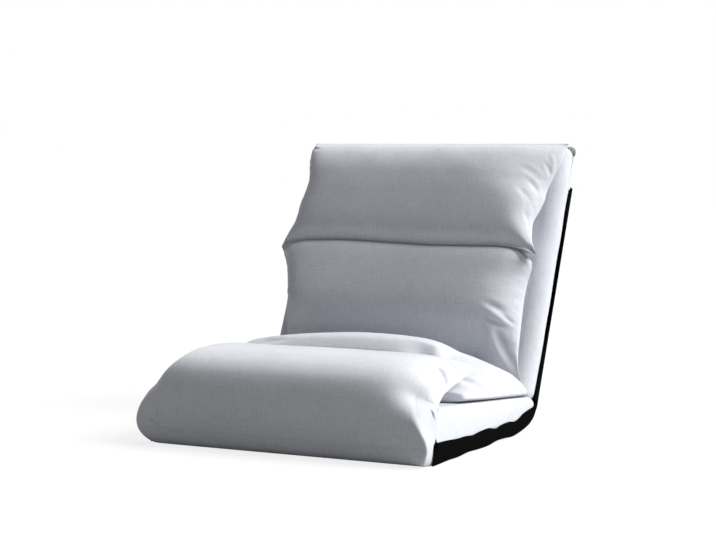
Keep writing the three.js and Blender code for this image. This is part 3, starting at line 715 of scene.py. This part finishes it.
REAR_FRONT, REAR_END = 0.006, HINGE_DEPTH - 0.010
RIDGE_HEIGHT = 0.195
rear_rise = through([
    (-1, 0), (-0.9, 0.06), (-0.6, 0.16), (-0.3, 0.27), (0, 0.42), (0.12, 0.60), (0.2, 0.78),
    (0.28, 0.92), (0.38, 0.985), (0.48, 1), (0.62, 0.88), (0.76, 0.58), (0.88, 0.28),
    (0.96, 0.1), (1, 0),
])
# By depth: how far the cushion reaches to the sides
rear_reach = through([
    (0, 0.245), (0.06, 0.245), (0.11, 0.245), (0.138, 0.246), (0.143, 0.262), (0.148, 0.280),
    (0.152, 0.2885), (0.160, 0.2925), (0.18, 0.2950), (0.21, 0.297), (0.36, 0.3005),
    (0.42, 0.302), (0.446, 0.302),
])
right_rise = through([
    (-1, 0), (-0.9, 0.06), (-0.6, 0.16), (-0.3, 0.27), (0, 0.45), (0.15, 0.61), (0.3, 0.79),
    (0.48, 0.94), (0.65, 0.93), (0.79, 0.84), (0.88, 0.72), (0.95, 0.56), (0.985, 0.30), (1, 0),
])
right_fall = through([
    (0, 0), (0.10, 0.02), (0.131, 0.045), (0.16, 0.10), (0.18, 0.165), (0.2, 0.23),
    (0.25, 0.39), (0.30, 0.58),
])


def rear_seat_pillow(folds):
    """Rear seat cushion: a thin front part under the foot cushion and a ridge behind it that
    falls away towards both sides. Each end turns over a shoulder to a belly and back under
    to the seam: quarter turns of an ellipse about the shoulder and below the belly."""
    u, v = rimmed_grid(240, 170)
    middle, half = (REAR_FRONT + REAR_END) / 2, (REAR_END - REAR_FRONT) / 2
    depth = middle + half * v
    full = RIDGE_HEIGHT - pad_top(middle + half / 2)
    towards_right = eased(ramp(u * 0.34, 0.163, 0.193))
    rise = rear_rise(v) + (right_rise(v) - rear_rise(v)) * towards_right
    steep = bell(u, 0.44, 0.09) * ramp(v, 0.32, 0.12)
    rise = rise * (1 - 0.45 * steep)
    flat = 0.72  # share of the width that lies between the shoulders
    belly = rear_reach(depth)
    under = np.maximum(FOLD_HEIGHT + FOLD_SLOPE * depth - pad_top(depth) - 0.0009, 0.0002)
    headroom = 0.08 * eased(ramp(depth, 0.25, 0.29))
    thick = np.minimum(full * rise, under + headroom)
    least_shoulder, widest_shoulder, deepest_tuck, waist_height = 0.008, 0.052, 0.034, 0.022
    shoulder = np.minimum(widest_shoulder, least_shoulder + 1.2 * thick)
    shoulder = shoulder * (0.18 + 0.82 * ramp(depth, 0.165, 0.25))
    shoulder = shoulder * (1 - 0.45 * ramp(depth, 0.3, 0.38))
    inner = belly - shoulder
    side = np.abs(u) > flat
    turn = np.pi / 2 - np.pi * ramp(np.abs(u), flat, 1)
    over, below = np.maximum(turn, 0), np.minimum(turn, 0)
    between = np.minimum(np.abs(u) / flat, 1) * inner
    x = np.where(side, inner + shoulder * np.cos(over) ** 0.8, between)
    x = x - np.minimum(deepest_tuck, 1.6 * thick + 0.004) * (1 - np.cos(below))
    fall = np.where(u > 0, right_fall(x), 0.27 * (x / 0.297) ** 1.9)
    top = thick * np.where(depth > 0.2, 1 - fall, 1 - fall * (depth / 0.2) ** 2)
    waist = np.minimum(0.5, waist_height / np.maximum(thick, 0.004))
    lift = top * (waist + (1 - waist) * np.sin(over) ** 0.9)
    slit = 0.6 + 0.4 * ramp(depth, 0.18, 0.32)
    lift = np.where(side, lift, top) * np.where(turn < 0, 1 + np.sin(below), 1) ** slit
    x = np.sign(u) * x
    upper = on_seat(points_of(x, depth, pad_top(depth) + GAP + lift))
    lower = on_seat(points_of(u * np.abs(x[-1]), depth, pad_top(depth) + GAP))
    lower[0], lower[-1] = upper[0], upper[-1]
    lower[:, 0], lower[:, -1] = upper[:, 0], upper[:, -1]
    across, along = lengths_of(upper)
    shown = ramp(depth, 0.27, 0.31)
    bumps = 0.0012 * lumps(across, along, 0.12, 31) * crown(u, 10, 1) * crown(v, 10, 1) * shown
    bumps += creases(across, along, folds) * crown(u, 30, 1)
    return two_sheets("rear_seat_pillow", embossed(upper, bumps, 2), lower)


REAR_FOLDS = [
    ((0.290, 0.150), (0.304, 0.168), (0.318, 0.190), 0.0050, 0.0028),
    ((-0.240, 0.080), (-0.200, 0.078), (-0.160, 0.086), 0.0080, 0.0030),
]
rear_pillow = dress(
    rear_seat_pillow(REAR_FOLDS), COVER, "seat", ["rear_seat_cushion"],
)
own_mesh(rear_pillow)

# The foot cushion's cover runs on down the front of the roll to a seam above the floor
FOOT_FRONT, FOOT_TIP = -0.045, 0.252
FOOT_RIGHT = 0.303
foot_outer = through([
    (0, -0.0448, 0.036), (0.02, -0.0458, 0.050), (0.05, -0.0463, 0.077), (0.09, -0.0462, 0.104),
    (0.14, -0.0432, 0.129), (0.19, -0.0340, 0.151), (0.25, -0.0145, 0.1695),
    (0.33, 0.022, 0.184), (0.43, 0.068, 0.1890), (0.55, 0.120, 0.1875),
    (0.68, 0.172, 0.1795), (0.80, 0.213, 0.1685), (0.90, 0.238, 0.1565), (1, 0.252, 0.1440),
])
foot_inner = through([
    (0, -0.0440, 0.036), (0.02, -0.0420, 0.050), (0.05, -0.0412, 0.075), (0.085, -0.0405, 0.0985),
    (0.12, -0.0340, 0.1044), (0.19, -0.012, 0.1044), (0.25, 0.004, 0.1050),
    (0.33, 0.040, 0.1108), (0.43, 0.080, 0.1170), (0.55, 0.125, 0.1240),
    (0.68, 0.172, 0.1313), (0.80, 0.211, 0.1374), (0.90, 0.237, 0.1414), (1, 0.252, 0.1437),
])

# By height: where the front turns into the end, where that end stops, and how sharp the turn is
right_end = through([
    (0, 0.2900, 0.2985, 9), (0.006, 0.2945, 0.3000, 10), (0.016, 0.3010, 0.3003, 12),
    (0.0325, 0.3060, 0.3003, 12), (0.0488, 0.3036, 0.3025, 11), (0.0656, 0.2950, 0.3035, 9),
    (0.087, 0.2840, 0.3035, 7.5), (0.108, 0.2740, 0.3030, 6.5), (0.130, 0.2665, 0.3025, 5),
    (0.166, 0.2560, 0.3010, 3.5),
])
left_reach = through([
    (0, 0.298), (0.01, 0.314), (0.02, 0.326), (0.03, 0.3335), (0.045, 0.3365), (0.06, 0.3335),
    (0.08, 0.324), (0.10, 0.314), (0.125, 0.304), (0.2, 0.302),
])
KNEE = 0.95


def front_end(u, height):
    """Across the width of the front: the place, and the share of its bulge. The share is 1 up
    to a knee near each end, from where it falls evenly to 0, (1 + run^-p)^(-1 / p) with the
    run from the end to the knee as 1."""
    table = right_end(height)
    knee, stop, sharp = (table[..., k] for k in range(3))
    wide = left_reach(height)
    knee, stop = np.where(u > 0, knee, KNEE * wide), np.where(u > 0, stop, wide)
    sharp = np.where(u > 0, sharp, 3)
    run = np.maximum(1 - np.abs(u), 1e-9) / (1 - KNEE)
    share = (1 + run**-sharp) ** (-1 / sharp)
    x = knee * np.minimum(np.abs(u) / KNEE, 1) + (stop - knee) * np.clip(1 - run, 0, 1)
    return np.sign(u) * x, share


def foot_pillow(folds):
    """Foot cushion: each section runs from the inner line to the outer line of a fixed
    profile, by a crown along the width. The part below the crease is a thin skin that
    follows the roll's own rounded ends."""
    u, v = rimmed_grid(230, 160)
    share = (v + 1) / 2
    outer, inner = foot_outer(share), foot_inner(share)
    below = eased(ramp(outer[..., 1], 0.128, 0.073))
    ends = (0.2 + 0.8 * crown(u, 8, 1.5)) * crown(u, 16, 2)
    ends = ends + (1 - ends) * below
    lower_part = eased(ramp(share, 0.30, 0.14))
    front_x, front_share = front_end(u, outer[..., 1])
    shrink = 1 - lower_part * (1 - front_share)
    rearwards = np.array([1.0, 0.0])
    outer = outer * (1 - rearwards * (1 - shrink[..., None]))
    inner = inner * (1 - rearwards * (1 - shrink[..., None]))
    section = inner + (outer - inner) * ends[..., None]
    run = 2 * ramp(section[..., 0], FOOT_FRONT, FOOT_TIP) - 1
    run = run * (1 - below) - below
    start = np.where(u > 0, FOOT_RIGHT, left_reach(outer[..., 1]))
    x = u * start * (1 - 0.024 * (run + 1) - 0.022 * (1 - run**2))
    left = np.maximum(-u, 0)
    x = x * (1 - 0.036 * left**6 * bell(run, -0.62, 0.33))
    x = x + (front_x - x) * lower_part
    corner = 0.030 * np.abs(u) ** 9 * np.maximum(0, (1 - run) / 2) ** 3 * (1 - below)
    corner = corner - 0.020 * np.abs(u) ** 9 * np.maximum(0, (1 + run) / 2) ** 4
    edge = 0.0105 * np.maximum(u, 0) ** 8 * ramp(run, -0.72, -0.37)
    edge = edge + 0.006 * left**8 * bell(run, 0.3, 0.35)
    upper = points_of(x, section[..., 0] + corner, section[..., 1] + edge)
    lower = points_of(x, inner[..., 0] + corner, inner[..., 1] + edge)
    across, along = lengths_of(upper)
    inside = crown(u, 10, 1) * crown(v, 12, 1)
    bumps = 0.0014 * lumps(across, along, 0.13, 41) * inside
    bumps += creases(across, along, folds) * crown(u, 24, 1)
    return two_sheets("foot_pillow", on_seat(embossed(upper, bumps, 2)), on_seat(lower))


FOOT_FOLDS = [
    ((0.270, -0.018), (0.312, -0.020), (0.328, -0.050), 0.0052, 0.0170),
    ((0.262, -0.014), (0.300, 0.006), (0.324, -0.022), 0.0060, -0.0030),
    ((0.246, 0.026), (0.268, 0.046), (0.298, 0.052), 0.0044, 0.0070),
    ((0.262, 0.062), (0.274, 0.076), (0.292, 0.080), 0.0042, 0.0042),
    ((0.270, 0.092), (0.278, 0.104), (0.290, 0.108), 0.0036, 0.0036),
    ((0.240, 0.112), (0.262, 0.116), (0.284, 0.122), 0.0042, 0.0020),
    ((-0.262, -0.196), (-0.263, -0.226), (-0.259, -0.262), 0.0030, 0.0026),
    ((-0.285, -0.230), (-0.272, -0.242), (-0.258, -0.250), 0.0030, 0.0016),
    ((-0.270, -0.250), (-0.040, -0.253), (0.215, -0.250), 0.0012, 0.0010),
]
foot = dress(foot_pillow(FOOT_FOLDS), COVER, None, ["foot_cushion"])
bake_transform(foot)


def front_roll():
    """Front bolster: a bulge off the front of the seat with rounded ends, widest a third of
    the way up; above the seam it lies under the foot cushion's skin."""
    u, v = rimmed_grid(220, 100)
    half = FOLD_HEIGHT / 2
    height = half * (1 + v) - GAP * v
    hidden = eased(ramp(height, 0.050, 0.095))
    x, share = front_end(u, height)
    x = x * (1 - 0.09 * hidden)
    upright = np.where(v > 0, crown(v, 14, 2), crown(v, 5, 4))
    deepest, skin_room = 0.0443, 0.0048
    bulge = (deepest - skin_room * ramp(height, 0.0355, 0.0475)) * share * upright
    bulge = bulge * (1 - 0.25 * hidden)
    upper = points_of(x, -GAP - bulge, height)
    lower = points_of(x, -GAP, height)
    across, along = lengths_of(upper)
    upper[..., 1] -= 0.001 * lumps(across, along, 0.12, 51) * crown(u, 8, 1) * crown(v, 8, 1)
    return two_sheets("front_roll", on_seat(upper), on_seat(lower))


dress(front_roll(), COVER, "seat", ["front_bolster"])


# Pads

RING_POINTS = 420
SIDE_MARGIN = 0.02
HINGE_ENDS = (0.25, 0.28)  # across, between which the covers draw in at the hinge


def rounded_ring(half, near, far, radius, count=12):
    """A rectangle from -half to half and from near to far, with corners of a radius, as
    evenly turned points (across, along)."""
    turn = np.linspace(0, np.pi / 2, count)
    arc = points_of(np.cos(turn), np.sin(turn)) * radius
    ring = []
    for quarter, (cx, cy) in enumerate((
        (half - radius, far - radius), (-half + radius, far - radius),
        (-half + radius, near + radius), (half - radius, near + radius),
    )):
        angle = quarter * np.pi / 2
        c, s = round(math.cos(angle)), round(math.sin(angle))
        turned = points_of(arc[:, 0] * c - arc[:, 1] * s, arc[:, 0] * s + arc[:, 1] * c)
        ring.append(turned + (cx, cy))
    return np.concatenate(ring)


def even_ring(ring, count):
    """The same closed line with evenly spaced points."""
    closed = np.concatenate([ring, ring[:1]])
    length = np.concatenate([[0], np.cumsum(np.linalg.norm(np.diff(closed, axis=0), axis=-1))])
    at = np.linspace(0, length[-1], count, endpoint=False)
    return np.stack([np.interp(at, length, closed[:, k]) for k in range(2)], axis=-1)


def beside(ring):
    """How far each point of a ring lies into the side face: 0 up to a margin, then to 1."""
    return ramp(np.abs(ring[:, 0]), HALF_WIDTH - SIDE_MARGIN, HALF_WIDTH)


def back_cover():
    """Cover of the back pad: rounded rectangles up the back that shrink round both ends,
    with softly bulged sides."""
    low, high = 0.0415, BACK_TOP
    radius, corner, fullest, drawn_in, lowest = 0.012, 0.028, 0.004, 0.0065, 0.015
    turn = np.linspace(0, np.pi / 2, 9)
    start = low + radius * (1 - np.sin(turn[::-1]))
    stop = high - radius * (1 - np.sin(turn))
    heights = np.concatenate([start, np.linspace(low + radius, high - radius, 130)[1:-1], stop])
    rings = []
    for z in heights:
        near = max(0.0, low + radius - z, z - high + radius)
        inset = radius - math.sqrt(max(radius**2 - near**2, 0))
        rear = BACK_REAR - 0.002 - inset
        ring = rounded_ring(HALF_WIDTH - inset, BACK_FRONT + inset, rear, corner)
        ring = even_ring(ring, RING_POINTS)
        side = beside(ring)
        puff = fullest * side * crown((z - (low + high) / 2) / ((high - low) / 2), 8, 1)
        wave = 0.0009 * ripple(np.full(len(ring), z), 0.11, 61) * side
        x = ring[:, 0] + np.sign(ring[:, 0]) * (puff + wave)
        y = ring[:, 1]
        round_end = HINGE_COVER + GAP - drawn_in * ramp(np.abs(ring[:, 0]), *HINGE_ENDS)
        depth = y * math.cos(LEAN) + z * math.sin(LEAN)
        arc = np.sqrt(np.maximum(round_end**2 - y**2, 0))
        plane = (round_end + y * math.sin(LEAN)) / math.cos(LEAN)
        bottom = np.where(depth < 0, plane, arc)
        drop = (low - np.clip(bottom, lowest, low)) * ramp(z, low + 0.03, low)
        rings.append(points_of(x, y, z - drop))
    return loft("back_cover", on_back(np.array(rings)))


# Its linen is the lightened copy: painted light on the pad's sides.
dress(back_cover(), COVER_LIGHTENED, "back", ["back_pad", "back_core"])


def seat_cover():
    """Cover of the seat pad: upright rounded sections from the front edge to the hinge, then
    round the hinge's axis."""
    low, radius, fullest, drawn_in, last_angle = 0.0385, 0.010, 0.003, 0.0062, 1.33
    rings = []
    turn = np.linspace(0, np.pi / 2, 8)
    begin, edge = -0.004, 0.004
    depths = np.concatenate([
        begin + edge * (1 - np.sin(turn[::-1])),
        np.linspace(begin + edge, HINGE_DEPTH, 120)[1:],
    ])
    for depth in depths:
        near = max(0.0, begin + edge - depth)
        inset = edge - math.sqrt(max(edge**2 - near**2, 0))
        ring = rounded_ring(HALF_WIDTH - inset, low + inset, pad_top(depth) - inset, radius)
        ring = even_ring(ring, RING_POINTS)
        side = beside(ring)
        sink = ramp(ring[:, 1], 0.060, 0.040) * ramp(np.abs(ring[:, 0]), 0.276, 0.288)
        ring[:, 1] -= 0.018 * sink
        belly = np.sin(np.pi * ramp(ring[:, 1], low, pad_top(depth)))
        puff = fullest * side * (0.4 + 0.6 * belly)
        wave = 0.0008 * ripple(np.full(len(ring), depth), 0.09, 71) * side
        x = ring[:, 0] + np.sign(ring[:, 0]) * (puff + wave)
        rings.append(points_of(x, depth, ring[:, 1]))
    last = rings[-1]
    reach = (last[:, 2] - HINGE[2]) / (pad_top(HINGE_DEPTH) - HINGE[2])
    for angle in np.radians(np.arange(4, 77, 4)):
        tight = drawn_in * ramp(np.abs(last[:, 0]), *HINGE_ENDS) * (angle / last_angle) ** 2
        y = HINGE_DEPTH + (HINGE_COVER - tight) * np.clip(reach, 0, 1) * math.sin(angle)
        z = HINGE[2] + (last[:, 2] - HINGE[2]) * math.cos(angle)
        pinch = 1 - 0.012 * (angle / last_angle) ** 4
        rings.append(points_of(last[:, 0] * pinch, y, z))
    return loft("seat_cover", on_seat(np.array(rings)))


# Its linen is the lightened copy: painted light on the pad's sides.
dress(seat_cover(), COVER_LIGHTENED, "seat", ["seat_pad", "seat_core"])


# Black cloth

BAND_END = 0.4935
BASE_HEIGHT = 0.0013  # of the middle of the bottom cloth
CURL = (0.84, 1)  # shares of the half width between which cloth turns up at the sides
band_low = through([
    (0, 0.0008), (0.05, 0.0016), (0.10, 0.0009), (0.15, 0.0030), (0.19, 0.0012), (0.24, 0.0008),
    (0.29, 0.0042), (0.33, 0.0026), (0.36, 0.0010), (0.40, 0.0040), (0.435, 0.0090),
    (0.462, 0.0165), (0.480, 0.0275), (0.489, 0.0400), (BAND_END, 0.0530),
])
band_high = through([
    (0, 0.0412), (0.05, 0.0388), (0.105, 0.0352), (0.135, 0.0345), (0.165, 0.0318),
    (0.20, 0.0336), (0.25, 0.0335), (0.27, 0.0298), (0.285, 0.0288), (0.30, 0.0308),
    (0.345, 0.0322), (0.375, 0.0290), (0.39, 0.0300), (0.42, 0.0382), (0.45, 0.0440),
    (0.475, 0.0500), (BAND_END, 0.0560),
])


def band_sheet(label, side):
    """Side band: a strip between a lower edge that rests on the floor and curls up round the
    hinge, and a wavy upper edge."""
    share, rise = np.meshgrid(np.linspace(0, 1, 200), np.linspace(0, 1, 14), indexing="ij")
    begin = -0.0125 + 0.006 * rise
    depth = begin + (BAND_END - begin) * share ** (0.9 if side > 0 else 0.92)
    low, high = band_low(depth), band_high(depth)
    waist = 0.0030 * np.sin(np.pi * rise)
    out = HALF_WIDTH + 0.0016 + waist + 0.0007 * ripple(depth + 0.3 * rise, 0.08, 83 + side)
    height = low + (high - low) * rise
    points = points_of(side * out, depth, height)
    return thick_sheet(f"band_{label}", on_seat(points), thickness=0.0016)


for label, side in SIDES:
    dress(band_sheet(label, side), BLACK, "seat", [f"side_band_{label}"])


def base_sheet():
    """Bottom cloth: flat, with its edges turned a little up over the sides."""
    u, v = even_grid(80, 60)
    curl = eased(ramp(np.abs(u), *CURL))
    rise = BASE_HEIGHT + (band_low(v * HINGE_DEPTH) - 0.0008) * curl
    points = points_of(u * (HALF_WIDTH + 0.0005), v * HINGE_DEPTH, rise)
    return thick_sheet("base_sheet", on_seat(points), thickness=0.0014)


dress(base_sheet(), BLACK, "seat", ["bottom_cloth"])


# Degrees about the hinge, from straight down to where the cloth meets the rear of the back
SKIRT_START, SKIRT_STOP = -90, 31
end_radius = through([
    (SKIRT_START, 0.0145), (-60, 0.0160), (-10, 0.0240), (17, 0.0345),
    (SKIRT_STOP, SKIRT_RADIUS),
])


def hinge_skirt():
    """Black cloth behind the hinge: an arc about the hinge's axis, from the bottom cloth to
    the rear of the back."""
    u, v = even_grid(120, 36)
    degrees = SKIRT_START + (SKIRT_STOP - SKIRT_START) * v
    angle = np.radians(degrees)
    growth = np.sin(np.pi / 2 * ramp(v, 0, 0.55)) ** 1.2
    radius = HINGE[2] - 0.0012 + (SKIRT_RADIUS - HINGE[2]) * growth
    curl = eased(ramp(np.abs(u), *CURL))
    radius = radius + (end_radius(degrees) - radius) * curl
    radius = radius + 0.0006 * ripple(u, 0.15, 91) * np.sin(np.pi * v)
    points = points_of(
        u * (HALF_WIDTH - 0.001),
        HINGE_DEPTH + radius * np.cos(angle),
        HINGE[2] + radius * np.sin(angle),
    )
    return thick_sheet("hinge_skirt", on_seat(points), thickness=0.0016)


skirt = dress(hinge_skirt(), BLACK, None, ["hinge_cloth"])
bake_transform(skirt)


wrap_width = through([
    (0.036, 0.024), (0.09, 0.023), (0.15, 0.016), (0.22, 0.010), (0.32, 0.009),
    (0.40, 0.012), (0.46, 0.019), (0.495, 0.021), (CLOTH_TOP, 0.015),
])


def rear_sheet():
    """Black cloth over the rear of the back: each section runs from a flange on one side,
    round both rear corners, to the other flange, and the flanges' width varies."""
    corner, off_pad, sagging = 0.006, 0.0042, 0.0012
    out = HALF_WIDTH + off_pad
    rows = []
    for z in np.linspace(0.034, CLOTH_TOP, 120):
        wrap = float(wrap_width(np.array(z)))
        flange = np.linspace(BACK_REAR - wrap, BACK_REAR - corner, 8)[:-1]
        turn = np.linspace(0, np.pi / 2, 7)
        side = np.concatenate([
            points_of(out, flange),
            points_of(
                out - corner + corner * np.cos(turn),
                BACK_REAR - corner + corner * np.sin(turn),
            ),
        ])
        rear = np.linspace(out - corner, -out + corner, 90)[1:-1]
        section = np.concatenate([side, points_of(rear, BACK_REAR), side[::-1] * (-1, 1)])
        rows.append(np.concatenate([section, np.full((len(section), 1), z)], axis=1))
    points = np.array(rows)
    sag = sagging * lumps(points[..., 0], points[..., 2], 0.16, 101)
    flat = ramp(np.abs(points[..., 0]), HALF_WIDTH - 0.02, HALF_WIDTH - 0.06)
    points[..., 1] += (sag - sagging) * flat
    return thick_sheet("rear_sheet", on_back(points), thickness=0.0015)


dress(rear_sheet(), BLACK, "back", ["back_cloth"])


def flap_sheet():
    """Light flap over the top of the rear, hemmed along its lower edge."""
    u, v = even_grid(120, 30)
    lift = BACK_REAR - 0.0005 + 0.0012 * bell(v, 0.04, 0.03)
    points = points_of(
        u * (HALF_WIDTH - 0.006),
        lift + 0.0006 * lumps(u * HALF_WIDTH, v * 0.08, 0.09, 111),
        CLOTH_TOP - 0.004 + v * 0.080,
    )
    return thick_sheet("flap_sheet", on_back(points), thickness=0.0015)


dress(flap_sheet(), COVER, "back", ["rear_flap"])


def corner_knot(label, side):
    """Pinched corner of the cover: a lobe whose radius carries pleats that run together at
    its neck."""
    turn = np.linspace(0, 2 * np.pi, 49)[:-1]
    around, along = np.meshgrid(turn, np.linspace(0, 1, 30), indexing="xy")
    pleats = 1 + 0.2 * np.cos(3 * around + 2 * along) + 0.09 * np.cos(8 * around + 5 * along)
    fullest, length = 0.0128, 0.024
    radius = fullest * np.sin(np.pi * along) ** 0.55 * pleats
    reach = length * (along - 0.5)
    centre = np.array([side * (HALF_WIDTH - 0.0095), BACK_REAR - 0.014, BACK_TOP + 0.0015])
    tilt = math.radians(28) * side
    local = points_of(
        radius * np.cos(around) * 0.95,
        radius * np.sin(around) * 0.72,
        reach,
    )
    x = local[..., 0] * math.cos(tilt) + local[..., 2] * math.sin(tilt)
    z = -local[..., 0] * math.sin(tilt) + local[..., 2] * math.cos(tilt)
    rings = points_of(x, local[..., 1], z) + centre
    return loft(f"corner_knot_{label}", on_back(rings))


# The knots' dark linen is partly painted shade in the gathers.
for label, side in SIDES:
    dress(corner_knot(label, side), PINCH_SHADE, "back", [f"corner_ear_{label}"])


# Stage: pale floor, soft light from the upper right and behind, camera of the photograph

def stage():
    """Floor, world, lamps and camera. Floor and world look white to the camera and in
    reflections, and light the chair less than that."""
    size, drop = 12.0, 0.0004
    corners = np.array([[-size, -size, 0], [size, -size, 0], [size, size, 0], [-size, size, 0]])
    floor = make_mesh("floor", corners - [0, 0, drop], [[0, 1, 2, 3]])
    f = Finish("pale floor", roughness=1.0, specular_ior_level=0.0)
    seen = f.seen()
    f.shade(base_color=f.blend(seen, (0.43, 0.43, 0.43), (0.9, 0.9, 0.9)))
    glow = f.node("Emission", {}, {"Color": (1, 1, 1, 1), "Strength": 1.0})
    glowing = 0.82  # the rest of the floor's look keeps the shadow
    mixed = f.node("MixShader", {}, {
        0: seen * glowing, 1: Socket(f, f.shader.outputs[0]), 2: glow,
    })
    f.tree.links.new(mixed.link, f.output.inputs[0])
    floor.data.materials.append(f.material)

    world = bpy.data.worlds.new("studio")
    bpy.context.scene.world = world
    w = Nodes(world)
    soft = w.node("Background", {}, {0: (0.92, 0.96, 1.0, 1), 1: 0.085})
    white = w.node("Background", {}, {0: (1, 1, 1, 1), 1: 1.0})
    w.node("OutputWorld", {}, {0: w.node("MixShader", {}, {0: w.seen(), 1: soft, 2: white})})

    def aimed(name, data, towards, axis):
        """An object whose axis points a given way, with Y up."""
        obj = bpy.data.objects.new(name, data)
        obj.rotation_mode = "QUATERNION"
        obj.rotation_quaternion = Vector(towards).to_track_quat(axis, "Y")
        bpy.context.scene.collection.objects.link(obj)
        return obj

    for name, towards, strength, angle in (
        ("key", (0.75, 0.24, 0.62), 4.9, 34), ("rear", (0.0, 0.45, 0.89), 1.15, 60),
    ):
        data = bpy.data.lights.new(name, "SUN")
        data.energy = strength
        data.angle = math.radians(angle)
        aimed(name, data, towards, "Z")

    data = bpy.data.cameras.new("camera")
    focal_pixels, photo_width, sensor = 1810.47, 716, 36.0
    data.sensor_width = sensor
    data.lens = focal_pixels / photo_width * sensor
    azimuth, pitch = 0.47409, 0.070481
    camera = aimed("camera", data, (
        -math.sin(azimuth) * math.cos(pitch),
        math.cos(azimuth) * math.cos(pitch),
        -math.sin(pitch),
    ), "-Z")
    camera.location = (1.65358, -2.94004 + FRONT, 0.582525)
    bpy.context.scene.camera = camera


stage()
bpy.context.scene.view_settings.view_transform = "Standard"
